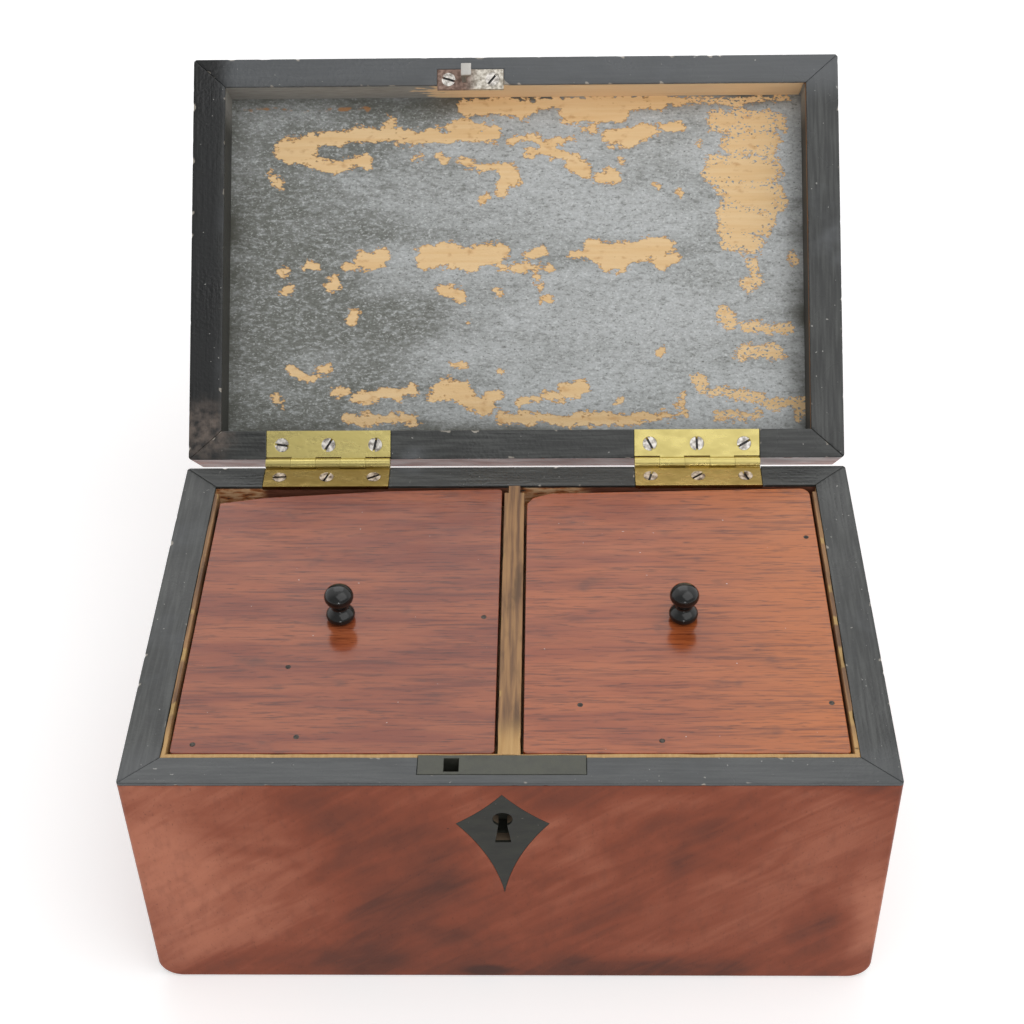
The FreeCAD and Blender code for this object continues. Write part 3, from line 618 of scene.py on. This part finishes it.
def close_tree(nodes, given, shape):
    """Sets the shape on every point, turned as the point says, and ends the tree as one finished mesh."""
    angles = add(nodes, "GeometryNodeInputNamedAttribute", {"Name": "turned"}, data_type="FLOAT_VECTOR")
    turn = add(nodes, "FunctionNodeEulerToRotation", {0: angles.outputs[0]}).outputs[0]
    spots = {"Points": given["Geometry"], "Instance": shape, "Rotation": turn}
    copies = add(nodes, "GeometryNodeInstanceOnPoints", spots).outputs[0]
    solid = add(nodes, "GeometryNodeRealizeInstances", {0: copies}).outputs[0]
    painted = add(nodes, "GeometryNodeSetMaterial", {"Geometry": solid, "Material": given["Finish"]})
    add(nodes, "NodeGroupOutput", {0: painted.outputs[0]})


nail_tree, nodes, given = fastener_tree("lid_nails", ("Head radius", "Head height"))
ball = add(nodes, "GeometryNodeMeshUVSphere", {"Segments": 20, "Rings": 10, "Radius": given["Head radius"]})
flat = add(nodes, "ShaderNodeMath", {0: given["Head height"], 1: given["Head radius"]}, operation="DIVIDE")
squashed = add(nodes, "ShaderNodeCombineXYZ", {0: 1.0, 1: 1.0, 2: flat.outputs[0]}).outputs[0]
head = add(nodes, "GeometryNodeTransform", {"Geometry": ball.outputs[0], "Scale": squashed})
close_tree(nodes, given, head.outputs[0])

finish, nodes, shader, place = start_finish("dark_iron_nail")
rust = speckle(nodes, place, (0.7, 0.7, 0.7), 4)
vary(nodes, shader, "Roughness", rust, 0.3, 0.7, 0.35, 0.6)
shader.inputs["Metallic"].default_value = 0.6
dress(nodes, shader, tint(nodes, "#26221f", "#59534c", rust, 0.35, 0.65), 0.08, rust)
for side in ("left", "right"):
    tops = [((low.x + high.x) / 2, (low.y + high.y) / 2, high.z) for low, high in islands(side + "_nails")]
    sunk = [(x, y, z - NAIL_SUNK * MM) for x, y, z in tops]
    sizes = {"Head radius": NAIL_HEAD * MM, "Head height": NAIL_DOME * MM}
    spread(nail_tree, side + "_nail_heads", sunk, [(0, 0, 0)] * len(sunk), sizes, finish, side + "_nails")

# Knobs: turned from ebony, with a ringed foot, a cove and a round head, and glued in by a tenon.
# Bright polish on black wood shows only the light around it.
KNOB_TOP = 11.6
KNOB_ARCS = [
    # middle, half width and half height in mm, and the angles from start to end in degrees
    ((2.4, 1.7), (1.7, 1.7), (-90, 55)),
    ((4.0, 4.65), (1.85, 1.35), (235, 130)),
    ((0.0, 8.4), (4.2, 3.2), (-45, 90)),
]
ARC_STEPS = 7
KNOB_SIDES = 32

finish, nodes, shader, place = start_finish("polished_ebony")
grain = speckle(nodes, place, (0.8, 0.8, 4), 3)
vary(nodes, shader, "Roughness", grain, 0.3, 0.7, 0.13, 0.20)
dress(nodes, shader, tint(nodes, "#0b0c0c", "#1a1b1a", grain), 0.02, grain)
for side in ("left", "right"):
    low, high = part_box(side + "_knob")
    axis = Vector(((low.x + high.x) / 2, (low.y + high.y) / 2, high.z - KNOB_TOP * MM))
    turned = bmesh.new()
    outline = [turned.verts.new(axis)]
    for (radius, height), (half_width, half_height), (start, end) in KNOB_ARCS:
        for angle in np.radians(np.linspace(start, end, ARC_STEPS)):
            bulge = Vector((half_width * math.cos(angle), 0, half_height * math.sin(angle)))
            outline.append(turned.verts.new(axis + (Vector((radius, 0, height)) + bulge) * MM))
    edges = [turned.edges.new(pair) for pair in zip(outline, outline[1:])]
    round_about = {"cent": axis, "axis": (0, 0, 1), "angle": math.tau, "steps": KNOB_SIDES}
    bmesh.ops.spin(turned, geom=outline + edges, **round_about)
    bmesh.ops.remove_doubles(turned, verts=turned.verts, dist=WELD * 10)
    bmesh.ops.recalc_face_normals(turned, faces=turned.faces)
    knob = finished(turned, side + "_knob_turned", finish, side + "_knob")
    smooth = knob.modifiers.new("smooth", "SUBSURF")
    smooth.levels = smooth.render_levels = 2

# Lock: a sheet-iron box lock with its selvedge let into the top of the front board.
# Handling has left its metal a dull, mottled grey-green.
lock_iron, nodes, shader, place = start_finish("dull_lock_iron")
mottle = speckle(nodes, place, (3, 3, 3), 5)
base = tint(nodes, "#43443c", "#55564d", mottle, 0.3, 0.7)
base = tint(nodes, base, "#33322b", speckle(nodes, place, (7, 5, 5), 4), 0.55, 0.8, 0.6)
vary(nodes, shader, "Roughness", mottle, 0.3, 0.7, 0.38, 0.58)
shader.inputs["Metallic"].default_value = 0.2
dress(nodes, shader, base, 0.08, mottle, speckle(nodes, place, (0.5, 0.5, 0.5), 2))
selvedge = clean_copy("lock_plate")
ease_arrises(selvedge, width=0.18)
finished(selvedge, "lock_selvedge", lock_iron, "lock_plate")
paint(lock_iron, "lock_case", "lock_drill_pin", "lock_bolt", "lock_bolt_spring", "lock_screws")

# Lid edging: the same black strips as the case has, mitred round the rim of the lid.
# Its arrises are chipped pale, its front is painted grey as painted sheen, and its left side is painted near-black
# as painted shade.
lid_edging = {
    "long": ebonised("ebonised_lid_edging", True, 0.6, LONG_GRAIN),
    "short": ebonised("ebonised_lid_end_edging", True, 0.6, END_GRAIN),
}
LID_SEED = 40
for number, (side, run) in enumerate(STRIP_RUNS.items()):
    seed = LID_SEED + SEED_STEP * number
    worn_strip("lid_" + side + "_edging", lid_edging[run], seed, from_noise=0.38)

# Lid lining: lead-grey foil pasted to the lid's board, streaked along its length and dotted with oxide.
# It has torn away in patches, and the bare tan softwood lies a paper's thickness lower there.
BARE_STROKES = [
    # half width, then the points of a line: across from the middle and up from the hinged edge, in mm
    (3.0, (-15, 113), (-7.5, 113.5), (3.5, 113)), (1.6, (8, 115), (49, 115.5)),
    (3.6, (17.5, 111.5), (32.5, 112)), (1.9, (14.5, 114), (46, 114)),
    (1.2, (46, 115), (69.5, 115), (85.5, 115.5)), (4.1, (-72, 100), (-66.5, 100.5)),
    (2.2, (-64.5, 103), (-58, 103.5), (-51, 105), (-41.5, 105)), (1.6, (-41.5, 107), (-39.5, 109.5)),
    (2.1, (-40, 104.5), (-29, 104), (-18, 104.5), (-6.5, 104.5)),
    (1.9, (-21, 107), (-15.5, 108), (-11.5, 107)),
    (1.9, (-64.5, 96), (-58.5, 94), (-52.5, 96), (-47.5, 96.5)),
    (1.0, (-77.5, 92.5), (-76.5, 90), (-74, 89.5)), (0.8, (-32, 97.5), (-30, 97.5)),
    (0.8, (-24, 98), (-22.5, 96.5)), (1.1, (-17, 96), (-10, 94), (-4.5, 94.5)),
    (3.0, (-3, 93), (-1.5, 90.5)), (2.1, (-3, 91), (-4.5, 86.5)), (0.8, (-10, 83.5), (-8.5, 85)),
    (1.2, (-1, 102.5), (3.5, 104), (10.5, 102), (18, 103)),
    (1.5, (3.5, 99.5), (10.5, 99), (16.5, 97.5)), (2.5, (18.5, 95.5), (21.5, 93)),
    (2.1, (27, 90.5), (30.5, 91)), (0.8, (32.5, 96.5), (34, 95.5)), (0.7, (44, 88), (45, 87.5)),
    (0.8, (51.5, 85), (52, 84.5)), (3.0, (31, 103.5), (40, 104.5)), (1.2, (43.5, 105.5), (52, 106.5)),
    (1.4, (22, 106), (24, 106)), (3.8, (64.5, 108.5), (79, 108)), (4.1, (69.5, 101), (79.5, 101.5)),
    (5.5, (64.5, 92.5), (78, 92)), (5.8, (69.5, 85.5), (79, 83)), (5.5, (68.5, 76.5), (76, 76.5)),
    (4.1, (68.5, 70.5), (73.5, 69.5)), (1.4, (74.5, 64), (74.5, 59.5)), (2.2, (72, 56), (75, 58)),
    (1.2, (86.5, 66), (87, 63.5)), (1.0, (58, 101), (58, 100.5)), (1.6, (82.5, 109), (84.5, 106.5)),
    (3.0, (-47.5, 64.5), (-43, 65)), (1.1, (-53, 62), (-49.5, 62)), (1.1, (-74, 60.5), (-72, 61.5)),
    (1.0, (-66.5, 62.5), (-63, 62.5)), (1.2, (-73, 54.5), (-71.5, 55.5)),
    (1.6, (-58.5, 56), (-56.5, 58)), (1.2, (-52, 45.5), (-50.5, 47.5)),
    (1.5, (-23.5, 55), (-19.5, 54.5), (-17, 52.5)), (1.0, (-6.5, 54.5), (-5, 54)),
    (1.1, (9, 52), (10.5, 52)), (1.0, (8, 55), (8, 55)), (0.7, (-15, 45.5), (-14.5, 45.5)),
    (3.8, (-28, 65.5), (-21, 66), (-15.5, 64)), (3.0, (-12.5, 65.5), (-4.5, 67)),
    (1.2, (-4.5, 62), (10.5, 62)), (1.1, (3.5, 65.5), (8.5, 67)), (1.0, (6.5, 61.5), (6.5, 59.5)),
    (3.3, (23.5, 67), (35, 66.5), (46, 68)), (2.5, (29, 63.5), (33.5, 63)),
    (2.2, (45.5, 63.5), (49.5, 65)), (0.8, (18, 65.5), (20.5, 66)), (2.5, (65, 47), (67, 44.5)),
    (1.6, (72, 42.5), (79, 42), (85, 42)), (2.3, (70.5, 35), (81.5, 34.5)),
    (1.2, (-70.5, 30.5), (-68, 27.5), (-64.5, 27), (-62, 29), (-59, 30)),
    (1.1, (-75.5, 20.5), (-73.5, 19)), (1.2, (-57.5, 22.5), (-53, 23)),
    (1.6, (-50.5, 20.5), (-40, 22), (-32.5, 23)), (3.6, (-22.5, 23), (-18, 23)),
    (2.7, (-15.5, 20), (-10, 18)), (1.4, (-8.5, 21), (-5.5, 21)), (1.2, (-26.5, 20.5), (-25.5, 20.5)),
    (0.7, (-20, 31), (-16, 31)), (0.7, (-5, 29), (-5, 29)), (2.5, (15.5, 22.5), (20, 23)),
    (1.1, (1.5, 20), (9, 21.5), (14.5, 21)), (1.6, (-52.5, 14), (-41.5, 14.5), (-32, 14)),
    (1.8, (-4.5, 14.5), (17.5, 13.5), (38.5, 14)), (1.0, (41.5, 14), (53, 15.5)),
    (1.1, (62.5, 14.5), (75.5, 15)), (1.9, (57, 26.5), (58.5, 23)), (1.2, (59.5, 22), (63, 22.5)),
    (1.8, (66, 21.5), (76, 20.5)), (1.8, (79, 18), (88.5, 18.5)), (1.2, (87.5, 15.5), (87.5, 13.5)),
    (1.0, (52, 20), (51, 17.5)), (0.7, (30.5, 19), (32.5, 19.5)), (0.8, (44.5, 34.5), (46, 35.5)),
]
RUSTY_LINE = (0.2, (-86, 113.5), (-66, 113), (-46, 113.5))
SPECKLED_FROM, SPECKLED_ALL = 52, 58
FOIL_STEP = 0.55
FOIL_TEAR, TEAR_SLOPE = 0.14, 0.4
UNTORN = -9.0
TEAR_BIAS, RUST_RAGGED = 0.2, 1.1
RAGGED_ALONG = 0.7
TEAR_NOISE = [
    # reach and size in mm
    (1.6, 3.4),
    (1.15, 1.4),
]
DARKER_EDGE_REACH = 7

low, high = islands("lid_foil_lining")[0]
hinged_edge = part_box("back_veneer")[1].y / MM
columns = int((high.x - low.x) / (FOIL_STEP * MM))
rows = int((high.y - low.y) / (FOIL_STEP * MM))
across = np.linspace(low.x, high.x, columns + 1) / MM
along = np.linspace(low.y, high.y, rows + 1) / MM
grid_x, grid_y = np.meshgrid(across, along)
up_lid = hinged_edge - grid_y


def from_line(points):
    """Distance in mm of every point of the lining's grid from a line of points."""
    nearest = np.full(grid_x.shape, np.inf)
    for (x0, v0), (x1, v1) in zip(points, points[1:]):
        span_x, span_v = x1 - x0, v1 - v0
        share = ((grid_x - x0) * span_x + (up_lid - v0) * span_v) / max(span_x ** 2 + span_v ** 2, 1e-6)
        share = np.clip(share, 0, 1)
        nearest = np.minimum(nearest, np.hypot(grid_x - x0 - share * span_x, up_lid - v0 - share * span_v))
    return nearest


bare = np.full(grid_x.shape, UNTORN)
for half_width, *points in BARE_STROKES:
    bare = np.maximum(bare, half_width - from_line(points))
rusty = RUSTY_LINE[0] - from_line(RUSTY_LINE[1:])
for index in np.ndindex(bare.shape):
    spot = Vector((grid_x[index] * RAGGED_ALONG, up_lid[index], 0.0))
    ragged = TEAR_BIAS + sum(reach * noise.noise(spot / size) for reach, size in TEAR_NOISE)
    bare[index] += ragged
    rusty[index] += RUST_RAGGED * ragged
torn = np.clip(bare / TEAR_SLOPE, 0, 1)
heights = low.z / MM + FOIL_TEAR * torn
grid = np.stack([grid_x, grid_y, heights], -1).reshape(-1, 3) * MM
side_gaps = [grid_x - across[0], across[-1] - grid_x, grid_y - along[0], along[-1] - grid_y]
from_side = np.minimum.reduce(side_gaps)

sheet = bmesh.new()
tear = sheet.verts.layers.float.new("bare")
stain = sheet.verts.layers.float.new("rusty")
darkening = sheet.verts.layers.float.new("darkening")
corners = [sheet.verts.new(point) for point in grid]
for vertex, share, rust, inset in zip(corners, bare.ravel(), rusty.ravel(), from_side.ravel()):
    vertex[tear] = share
    vertex[stain] = rust
    vertex[darkening] = max(0.0, 1 - inset / DARKER_EDGE_REACH)
wide = columns + 1
for row in range(rows):
    for column in range(columns):
        first = row * wide + column
        around = (first, first + wide, first + wide + 1, first + 1)
        sheet.faces.new([corners[index] for index in around])
outer = [edge for edge in sheet.edges if edge.is_boundary]
for item in bmesh.ops.extrude_edge_only(sheet, edges=outer)["geom"]:
    if isinstance(item, bmesh.types.BMVert):
        item.co.z = high.z
bmesh.ops.contextual_create(sheet, geom=[edge for edge in sheet.edges if edge.is_boundary])
bmesh.ops.recalc_face_normals(sheet, faces=sheet.faces)

# The speckle is drawn coarser than the real grains of oxide, which would not show.
finish, nodes, shader, place = start_finish("torn_tea_foil", True)
clouds = speckle(nodes, place, (34, 13, 13), 5)
# Painted light: the foil is painted darker to the left and paler to the right, for the light falling stronger on
# the right.
painted_light_to_right = fade(nodes, place, "X", -85, 15, -0.28, 0.13)
shade = add(nodes, "ShaderNodeMath", {0: clouds, 1: painted_light_to_right}, operation="ADD").outputs[0]
foil = tint(nodes, "#6f716b", "#b0b3b3", shade, 0.2, 0.7)
streaks = speckle(nodes, place, (2.0, 0.9, 0.9), 8)
foil = tint(nodes, foil, "#c6cacb", streaks, 0.45, 0.8, 0.6)
foil = tint(nodes, foil, "#55574f", streaks, 0.5, 0.22, 0.6)
oxide = speckle(nodes, place, (0.75, 0.55, 0.55), 8)
foil = tint(nodes, foil, "#dcdfdf", oxide, 0.52, 0.75, 0.58)
foil = tint(nodes, foil, "#565851", oxide, 0.45, 0.25, 0.5)
pits = speckle(nodes, place, (1.0, 0.7, 0.7), 6)
foil = tint(nodes, foil, "#4a4b45", pits, 0.60, 0.70, 0.65)
# Darker towards the foil's edges, in patches.
edge = add(nodes, "ShaderNodeAttribute", attribute_name="darkening").outputs["Fac"]
patchy = add(nodes, "ShaderNodeMapRange", stretch(clouds, 0.3, 0.6, 1.0, 0.3), **EASED).outputs[0]
darker_edge_share = add(nodes, "ShaderNodeMath", {0: edge, 1: patchy}, operation="MULTIPLY").outputs[0]
foil = tint(nodes, foil, "#4b4b42", darker_edge_share)
rust = add(nodes, "ShaderNodeAttribute", attribute_name="rusty").outputs["Fac"]
rust = add(nodes, "ShaderNodeMath", {0: rust, 1: oxide}, operation="ADD").outputs[0]
foil = tint(nodes, foil, "#b0763a", rust, 0.45, 1.2, 0.75)
wood = tint(nodes, "#eecd9c", "#e6c08a", speckle(nodes, place, (30, 1.6, 1.6), 4), 0.3, 0.75)
wood = tint(nodes, wood, "#b98148", speckle(nodes, place, (4, 2.4, 2.4), 3), 0.55, 0.80, 0.6)
share = add(nodes, "ShaderNodeAttribute", attribute_name="bare").outputs["Fac"]
fray = sway(nodes, place, (1.2, 0.7, 0.7), 6, 0.0, 0.2, 0.8, 0.9)
share = add(nodes, "ShaderNodeMath", {0: share, 1: fray}, operation="ADD").outputs[0]
right = fade(nodes, place, "X", SPECKLED_FROM, SPECKLED_ALL)
crumbs = add(nodes, "ShaderNodeMapRange", stretch(pits, 0.54, 0.62, 0, right), **EASED).outputs[0]
share = add(nodes, "ShaderNodeMath", {0: crumbs, 1: -2.8, 2: share}, operation="MULTIPLY_ADD").outputs[0]
wood = tint(nodes, wood, "#b98a52", share, 0.6, 0.1)
is_bare = add(nodes, "ShaderNodeMapRange", stretch(share, -0.05, 0.15), **EASED).outputs[0]
vary(nodes, shader, "Metallic", is_bare, 0, 1, 0.15, 0)
vary(nodes, shader, "Roughness", is_bare, 0, 1, 0.45, 0.7)
dress(nodes, shader, tint(nodes, foil, wood, is_bare), 0.16, streaks, oxide)
finished(sheet, "lid_foil_lining_torn", finish, "lid_foil_lining")

# Hinges: cast brass butts, let in flush and filed, with a pin through five knuckles.
# Satin yellow metal, brown in spots, with a painted highlight along the knuckles; the lower leaves and pins are
# painted darker as painted reflection of the grey foil.


def satin_brass(name, pale, dark, stain):
    """Filed brass: brown tarnish in spots, a satin, streaky shine, and knuckles painted paler as a painted
    highlight.
    """
    finish, nodes, shader, place = start_finish(name)
    tarnish = speckle(nodes, place, (6, 3, 3), 5)
    base = tint(nodes, pale, dark, tarnish, 0.3, 0.7)
    stains = speckle(nodes, place, (1.8, 1.2, 1.2), 5)
    base = tint(nodes, base, stain, stains, 0.64, 0.80, 0.55)
    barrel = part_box("left_hinge_pin")[0].y / MM
    # Painted highlight: the brass is painted paler from just in front of the pin backwards, over the knuckles.
    base = tint(nodes, base, "#c2b474", fade(nodes, place, "Y", barrel - 1.5, barrel - 0.5, 0, 0.8))
    vary(nodes, shader, "Roughness", tarnish, 0.3, 0.7, 0.22, 0.38)
    shader.inputs["Metallic"].default_value = 1.0
    dress(nodes, shader, base, 0.07, tarnish, stains)
    return finish


bright_brass = satin_brass("satin_brass", "#c4b676", "#ae9d5a", "#6e5a2a")
# Painted reflection: the lower leaves and pins get darker copies of the brass, the left darker than the right, for
# the grey foil they mirror.
painted_dark_lower_brass = {
    "left": satin_brass("painted_dark_left_lower_brass", "#9a844e", "#826d3c", "#544322"),
    "right": satin_brass("painted_dark_right_lower_brass", "#ae975d", "#96814b", "#5c4a27"),
}
for side in ("left", "right"):
    for level, brass in (("lower", painted_dark_lower_brass[side]), ("upper", bright_brass)):
        name = side + "_hinge_" + level + "_leaf"
        leaf = clean_copy(name)
        ease_arrises(leaf, width=0.1)
        finished(leaf, name + "_filed", brass, name)
    paint(painted_dark_lower_brass[side], side + "_hinge_pin")

# Screws: slotted steel wood screws in the hinges and the catch plate, driven by hand to any angle.
# Heads are turned bright and have dulled unevenly, some to brown.
SCREW_MM = {"Head radius": 2.1, "Head depth": 1.0, "Slot width": 0.7, "Slot depth": 0.6}
screw_sizes = {size: length * MM for size, length in SCREW_MM.items()}
screw_tree, nodes, given = fastener_tree("slotted_screws", screw_sizes)
cylinder = {"Vertices": 40, "Radius": given["Head radius"], "Depth": given["Head depth"]}
head = add(nodes, "GeometryNodeMeshCylinder", cylinder).outputs["Mesh"]
sink = add(nodes, "ShaderNodeMath", {0: given["Head depth"], 1: -0.5}, operation="MULTIPLY").outputs[0]
lowered = add(nodes, "ShaderNodeCombineXYZ", {2: sink}).outputs[0]
head = add(nodes, "GeometryNodeTransform", {"Geometry": head, "Translation": lowered}).outputs[0]
length = add(nodes, "ShaderNodeMath", {0: given["Head radius"], 1: 3.0}, operation="MULTIPLY").outputs[0]
tall = add(nodes, "ShaderNodeMath", {0: given["Slot depth"], 1: 2.0}, operation="MULTIPLY").outputs[0]
slot_box = add(nodes, "ShaderNodeCombineXYZ", {0: length, 1: given["Slot width"], 2: tall}).outputs[0]
slot = add(nodes, "GeometryNodeMeshCube", {"Size": slot_box}).outputs["Mesh"]
slotted = add(nodes, "GeometryNodeMeshBoolean", {0: head, 1: slot}, operation="DIFFERENCE").outputs[0]
close_tree(nodes, given, slotted)
SLOT_DARK_DEPTHS = (0.08, 0.22)


def screw_steel(name, on_lid, dull, bright):
    """Bright steel, dulled in spots, and dark and not metallic below the head's top face, in the slot and round
    the head.
    """
    finish, nodes, shader, place = start_finish(name, on_lid)
    mottle = speckle(nodes, place, (1.6, 1.6, 1.6), 5)
    base = tint(nodes, dull, bright, mottle, 0.35, 0.65)
    lowest, highest = islands("hinge_upper_screws" if on_lid else "hinge_lower_screws")[0]
    head_top = lowest.z / MM if on_lid else highest.z / MM
    inwards = 1 if on_lid else -1
    # Darker and not metallic from just below the head's top face down, in the slot and round the head.
    darker_share = fade(nodes, place, "Z", *[head_top + inwards * depth for depth in SLOT_DARK_DEPTHS])
    vary(nodes, shader, "Metallic", darker_share, 0, 1, 0.85, 0)
    vary(nodes, shader, "Roughness", mottle, 0.3, 0.7, 0.25, 0.5)
    dress(nodes, shader, tint(nodes, base, "#1d1814", darker_share), 0.12, mottle)
    return finish


SLOT_TURNS = {
    "hinge_lower_screws": (4, 70, 28, 75, 38, 110),
    "hinge_upper_screws": (8, -58, -78, 62, 88, -30),
    "lid_catch_screws": (18, -50),
}
screw_finishes = {
    True: screw_steel("lid_screw_steel", True, "#8d8780", "#ece7e0"),
    False: screw_steel("case_screw_steel", False, "#6f6052", "#d8c9b8"),
}
for node, slot_turns in SLOT_TURNS.items():
    on_lid = body_of[node] == "main_lid"
    places = []
    for low, high in islands(node):
        places.append(((low.x + high.x) / 2, (low.y + high.y) / 2, low.z if on_lid else high.z))
    turns = [(math.pi if on_lid else 0.0, 0.0, math.radians(turn)) for turn in slot_turns]
    spread(screw_tree, node + "_slotted", places, turns, screw_sizes, screw_finishes[on_lid], node)

# Catch plate: a filed steel plate with a hooked stud, screwed into the front of the lid.
# The left end has rusted brown, and the right end and the hook's tip are worn bright.
finish, nodes, shader, place = start_finish("half_rusted_steel", True)
grain = speckle(nodes, place, (1.1, 1.1, 1.1), 4)
bright = tint(nodes, "#8f887c", "#d3cdc2", grain, 0.3, 0.7)
rust = tint(nodes, "#6f584d", "#a1877a", grain, 0.3, 0.7)
rusty_end = fade(nodes, place, "X", -11, -16)
base = tint(nodes, bright, rust, rusty_end)
base = tint(nodes, base, "#7d766c", fade(nodes, place, "Z", 83.2, 82.6))
base = tint(nodes, base, "#c4c1bb", fade(nodes, place, "Z", 76.4, 75.9))
vary(nodes, shader, "Roughness", rusty_end, 0, 1, 0.32, 0.6)
vary(nodes, shader, "Metallic", rusty_end, 0, 1, 0.9, 0.4)
dress(nodes, shader, base, 0.15, grain)
catch = clean_copy("lid_catch_plate")
ease_arrises(catch, width=0.15)
finished(catch, "lid_catch_hook", finish, "lid_catch_plate")

# Studio: a white floor under soft panels behind, overhead and in front, with a white room all round.
# The camera stands where the photograph was taken from.
floor_mesh = bpy.data.meshes.new("studio_floor")
FLOOR_REACH = 4.0
floor_corners = [(x * FLOOR_REACH, y * FLOOR_REACH, 0) for x, y in ((-1, -1), (1, -1), (1, 1), (-1, 1))]
floor_mesh.from_pydata(floor_corners, [], [(0, 1, 2, 3)])
finish, nodes, shader, place = start_finish("white_paper_floor")
shader.inputs["Base Color"].default_value = colour("#f6f6f6")
shader.inputs["Roughness"].default_value = 0.9
shader.inputs["Specular IOR Level"].default_value = 0.0
shader.inputs["Emission Color"].default_value = (1, 1, 1, 1)
shader.inputs["Emission Strength"].default_value = 0.36
floor_mesh.materials.append(finish)
floor = bpy.data.objects.new("studio_floor", floor_mesh)
bpy.context.scene.collection.objects.link(floor)
floor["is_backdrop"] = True

room = bpy.data.worlds.new("white_room")
room.use_nodes = True
nodes = room.node_tree.nodes
path = add(nodes, "ShaderNodeLightPath").outputs
ROOM_LIGHT = 0.5
FRONT_OF_ROOM, FRONT_ENDS, BACK_STARTS = 0.45, -0.45, 0.25
way = add(nodes, "ShaderNodeTexCoord").outputs["Generated"]
way_back = add(nodes, "ShaderNodeSeparateXYZ", {0: way}).outputs[1]
inputs = stretch(way_back, FRONT_ENDS, BACK_STARTS, FRONT_OF_ROOM, 1.0)
mirrored = add(nodes, "ShaderNodeMapRange", inputs, **EASED).outputs[0]
inputs = stretch(path["Is Glossy Ray"], 0, 1, ROOM_LIGHT, mirrored)
level = add(nodes, "ShaderNodeMapRange", inputs).outputs[0]
inputs = {0: path["Is Camera Ray"], 1: path["Is Transmission Ray"]}
seen = add(nodes, "ShaderNodeMath", inputs, operation="MAXIMUM").outputs[0]
level = add(nodes, "ShaderNodeMapRange", stretch(seen, 0, 1, level, 1.0)).outputs[0]
nodes.id_data.links.new(level, nodes["Background"].inputs["Strength"])
nodes["Background"].inputs["Color"].default_value = (1, 1, 1, 1)
bpy.context.scene.world = room

LIGHT_PANELS = [
    # name, place and size in metres, and power in watts
    ("panel_behind", (-0.1, 0.85, 0.98), 1.0, 2.8),
    ("panel_overhead", (0.48, -0.45, 1.10), 1.4, 6.9),
    ("window_in_front", (0.05, -1.6, 0.28), 0.22, 1.6),
]
LIGHT_AIM = Vector((0, 0, 0.06))
for name, place, size, power in LIGHT_PANELS:
    panel = bpy.data.lights.new(name, "AREA")
    panel.shape = "SQUARE"
    panel.size = size
    panel.energy = power
    light = bpy.data.objects.new(name, panel)
    aim = LIGHT_AIM - Vector(place)
    light.matrix_world = Matrix.Translation(place) @ aim.to_track_quat("-Z", "Y").to_matrix().to_4x4()
    bpy.context.scene.collection.objects.link(light)

CAMERA_PLACE = Vector((12.36, -372.68, 444.49)) * MM
CAMERA_DOWN, CAMERA_LEFT, CAMERA_ROLL = (math.radians(angle) for angle in (41.075, 1.792, 1.376))
FOCUS_PIXELS, PHOTO_PIXELS = 1860.9, 1024
level_view = Matrix.Rotation(CAMERA_LEFT, 4, "Z") @ Matrix.Rotation(math.pi / 2 - CAMERA_DOWN, 4, "X")
camera_data = bpy.data.cameras.new("photograph_camera")
camera_data.sensor_width = 36
camera_data.lens = FOCUS_PIXELS / PHOTO_PIXELS * camera_data.sensor_width
camera = bpy.data.objects.new("photograph_camera", camera_data)
camera.matrix_world = Matrix.Translation(CAMERA_PLACE) @ level_view @ Matrix.Rotation(-CAMERA_ROLL, 4, "Z")
bpy.context.scene.collection.objects.link(camera)
bpy.context.scene.camera = camera
bpy.context.scene.view_settings.view_transform = "Standard"

sizes = {"cad": [list(corner) for corner in cad_box], "visual": [list(corner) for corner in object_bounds()]}
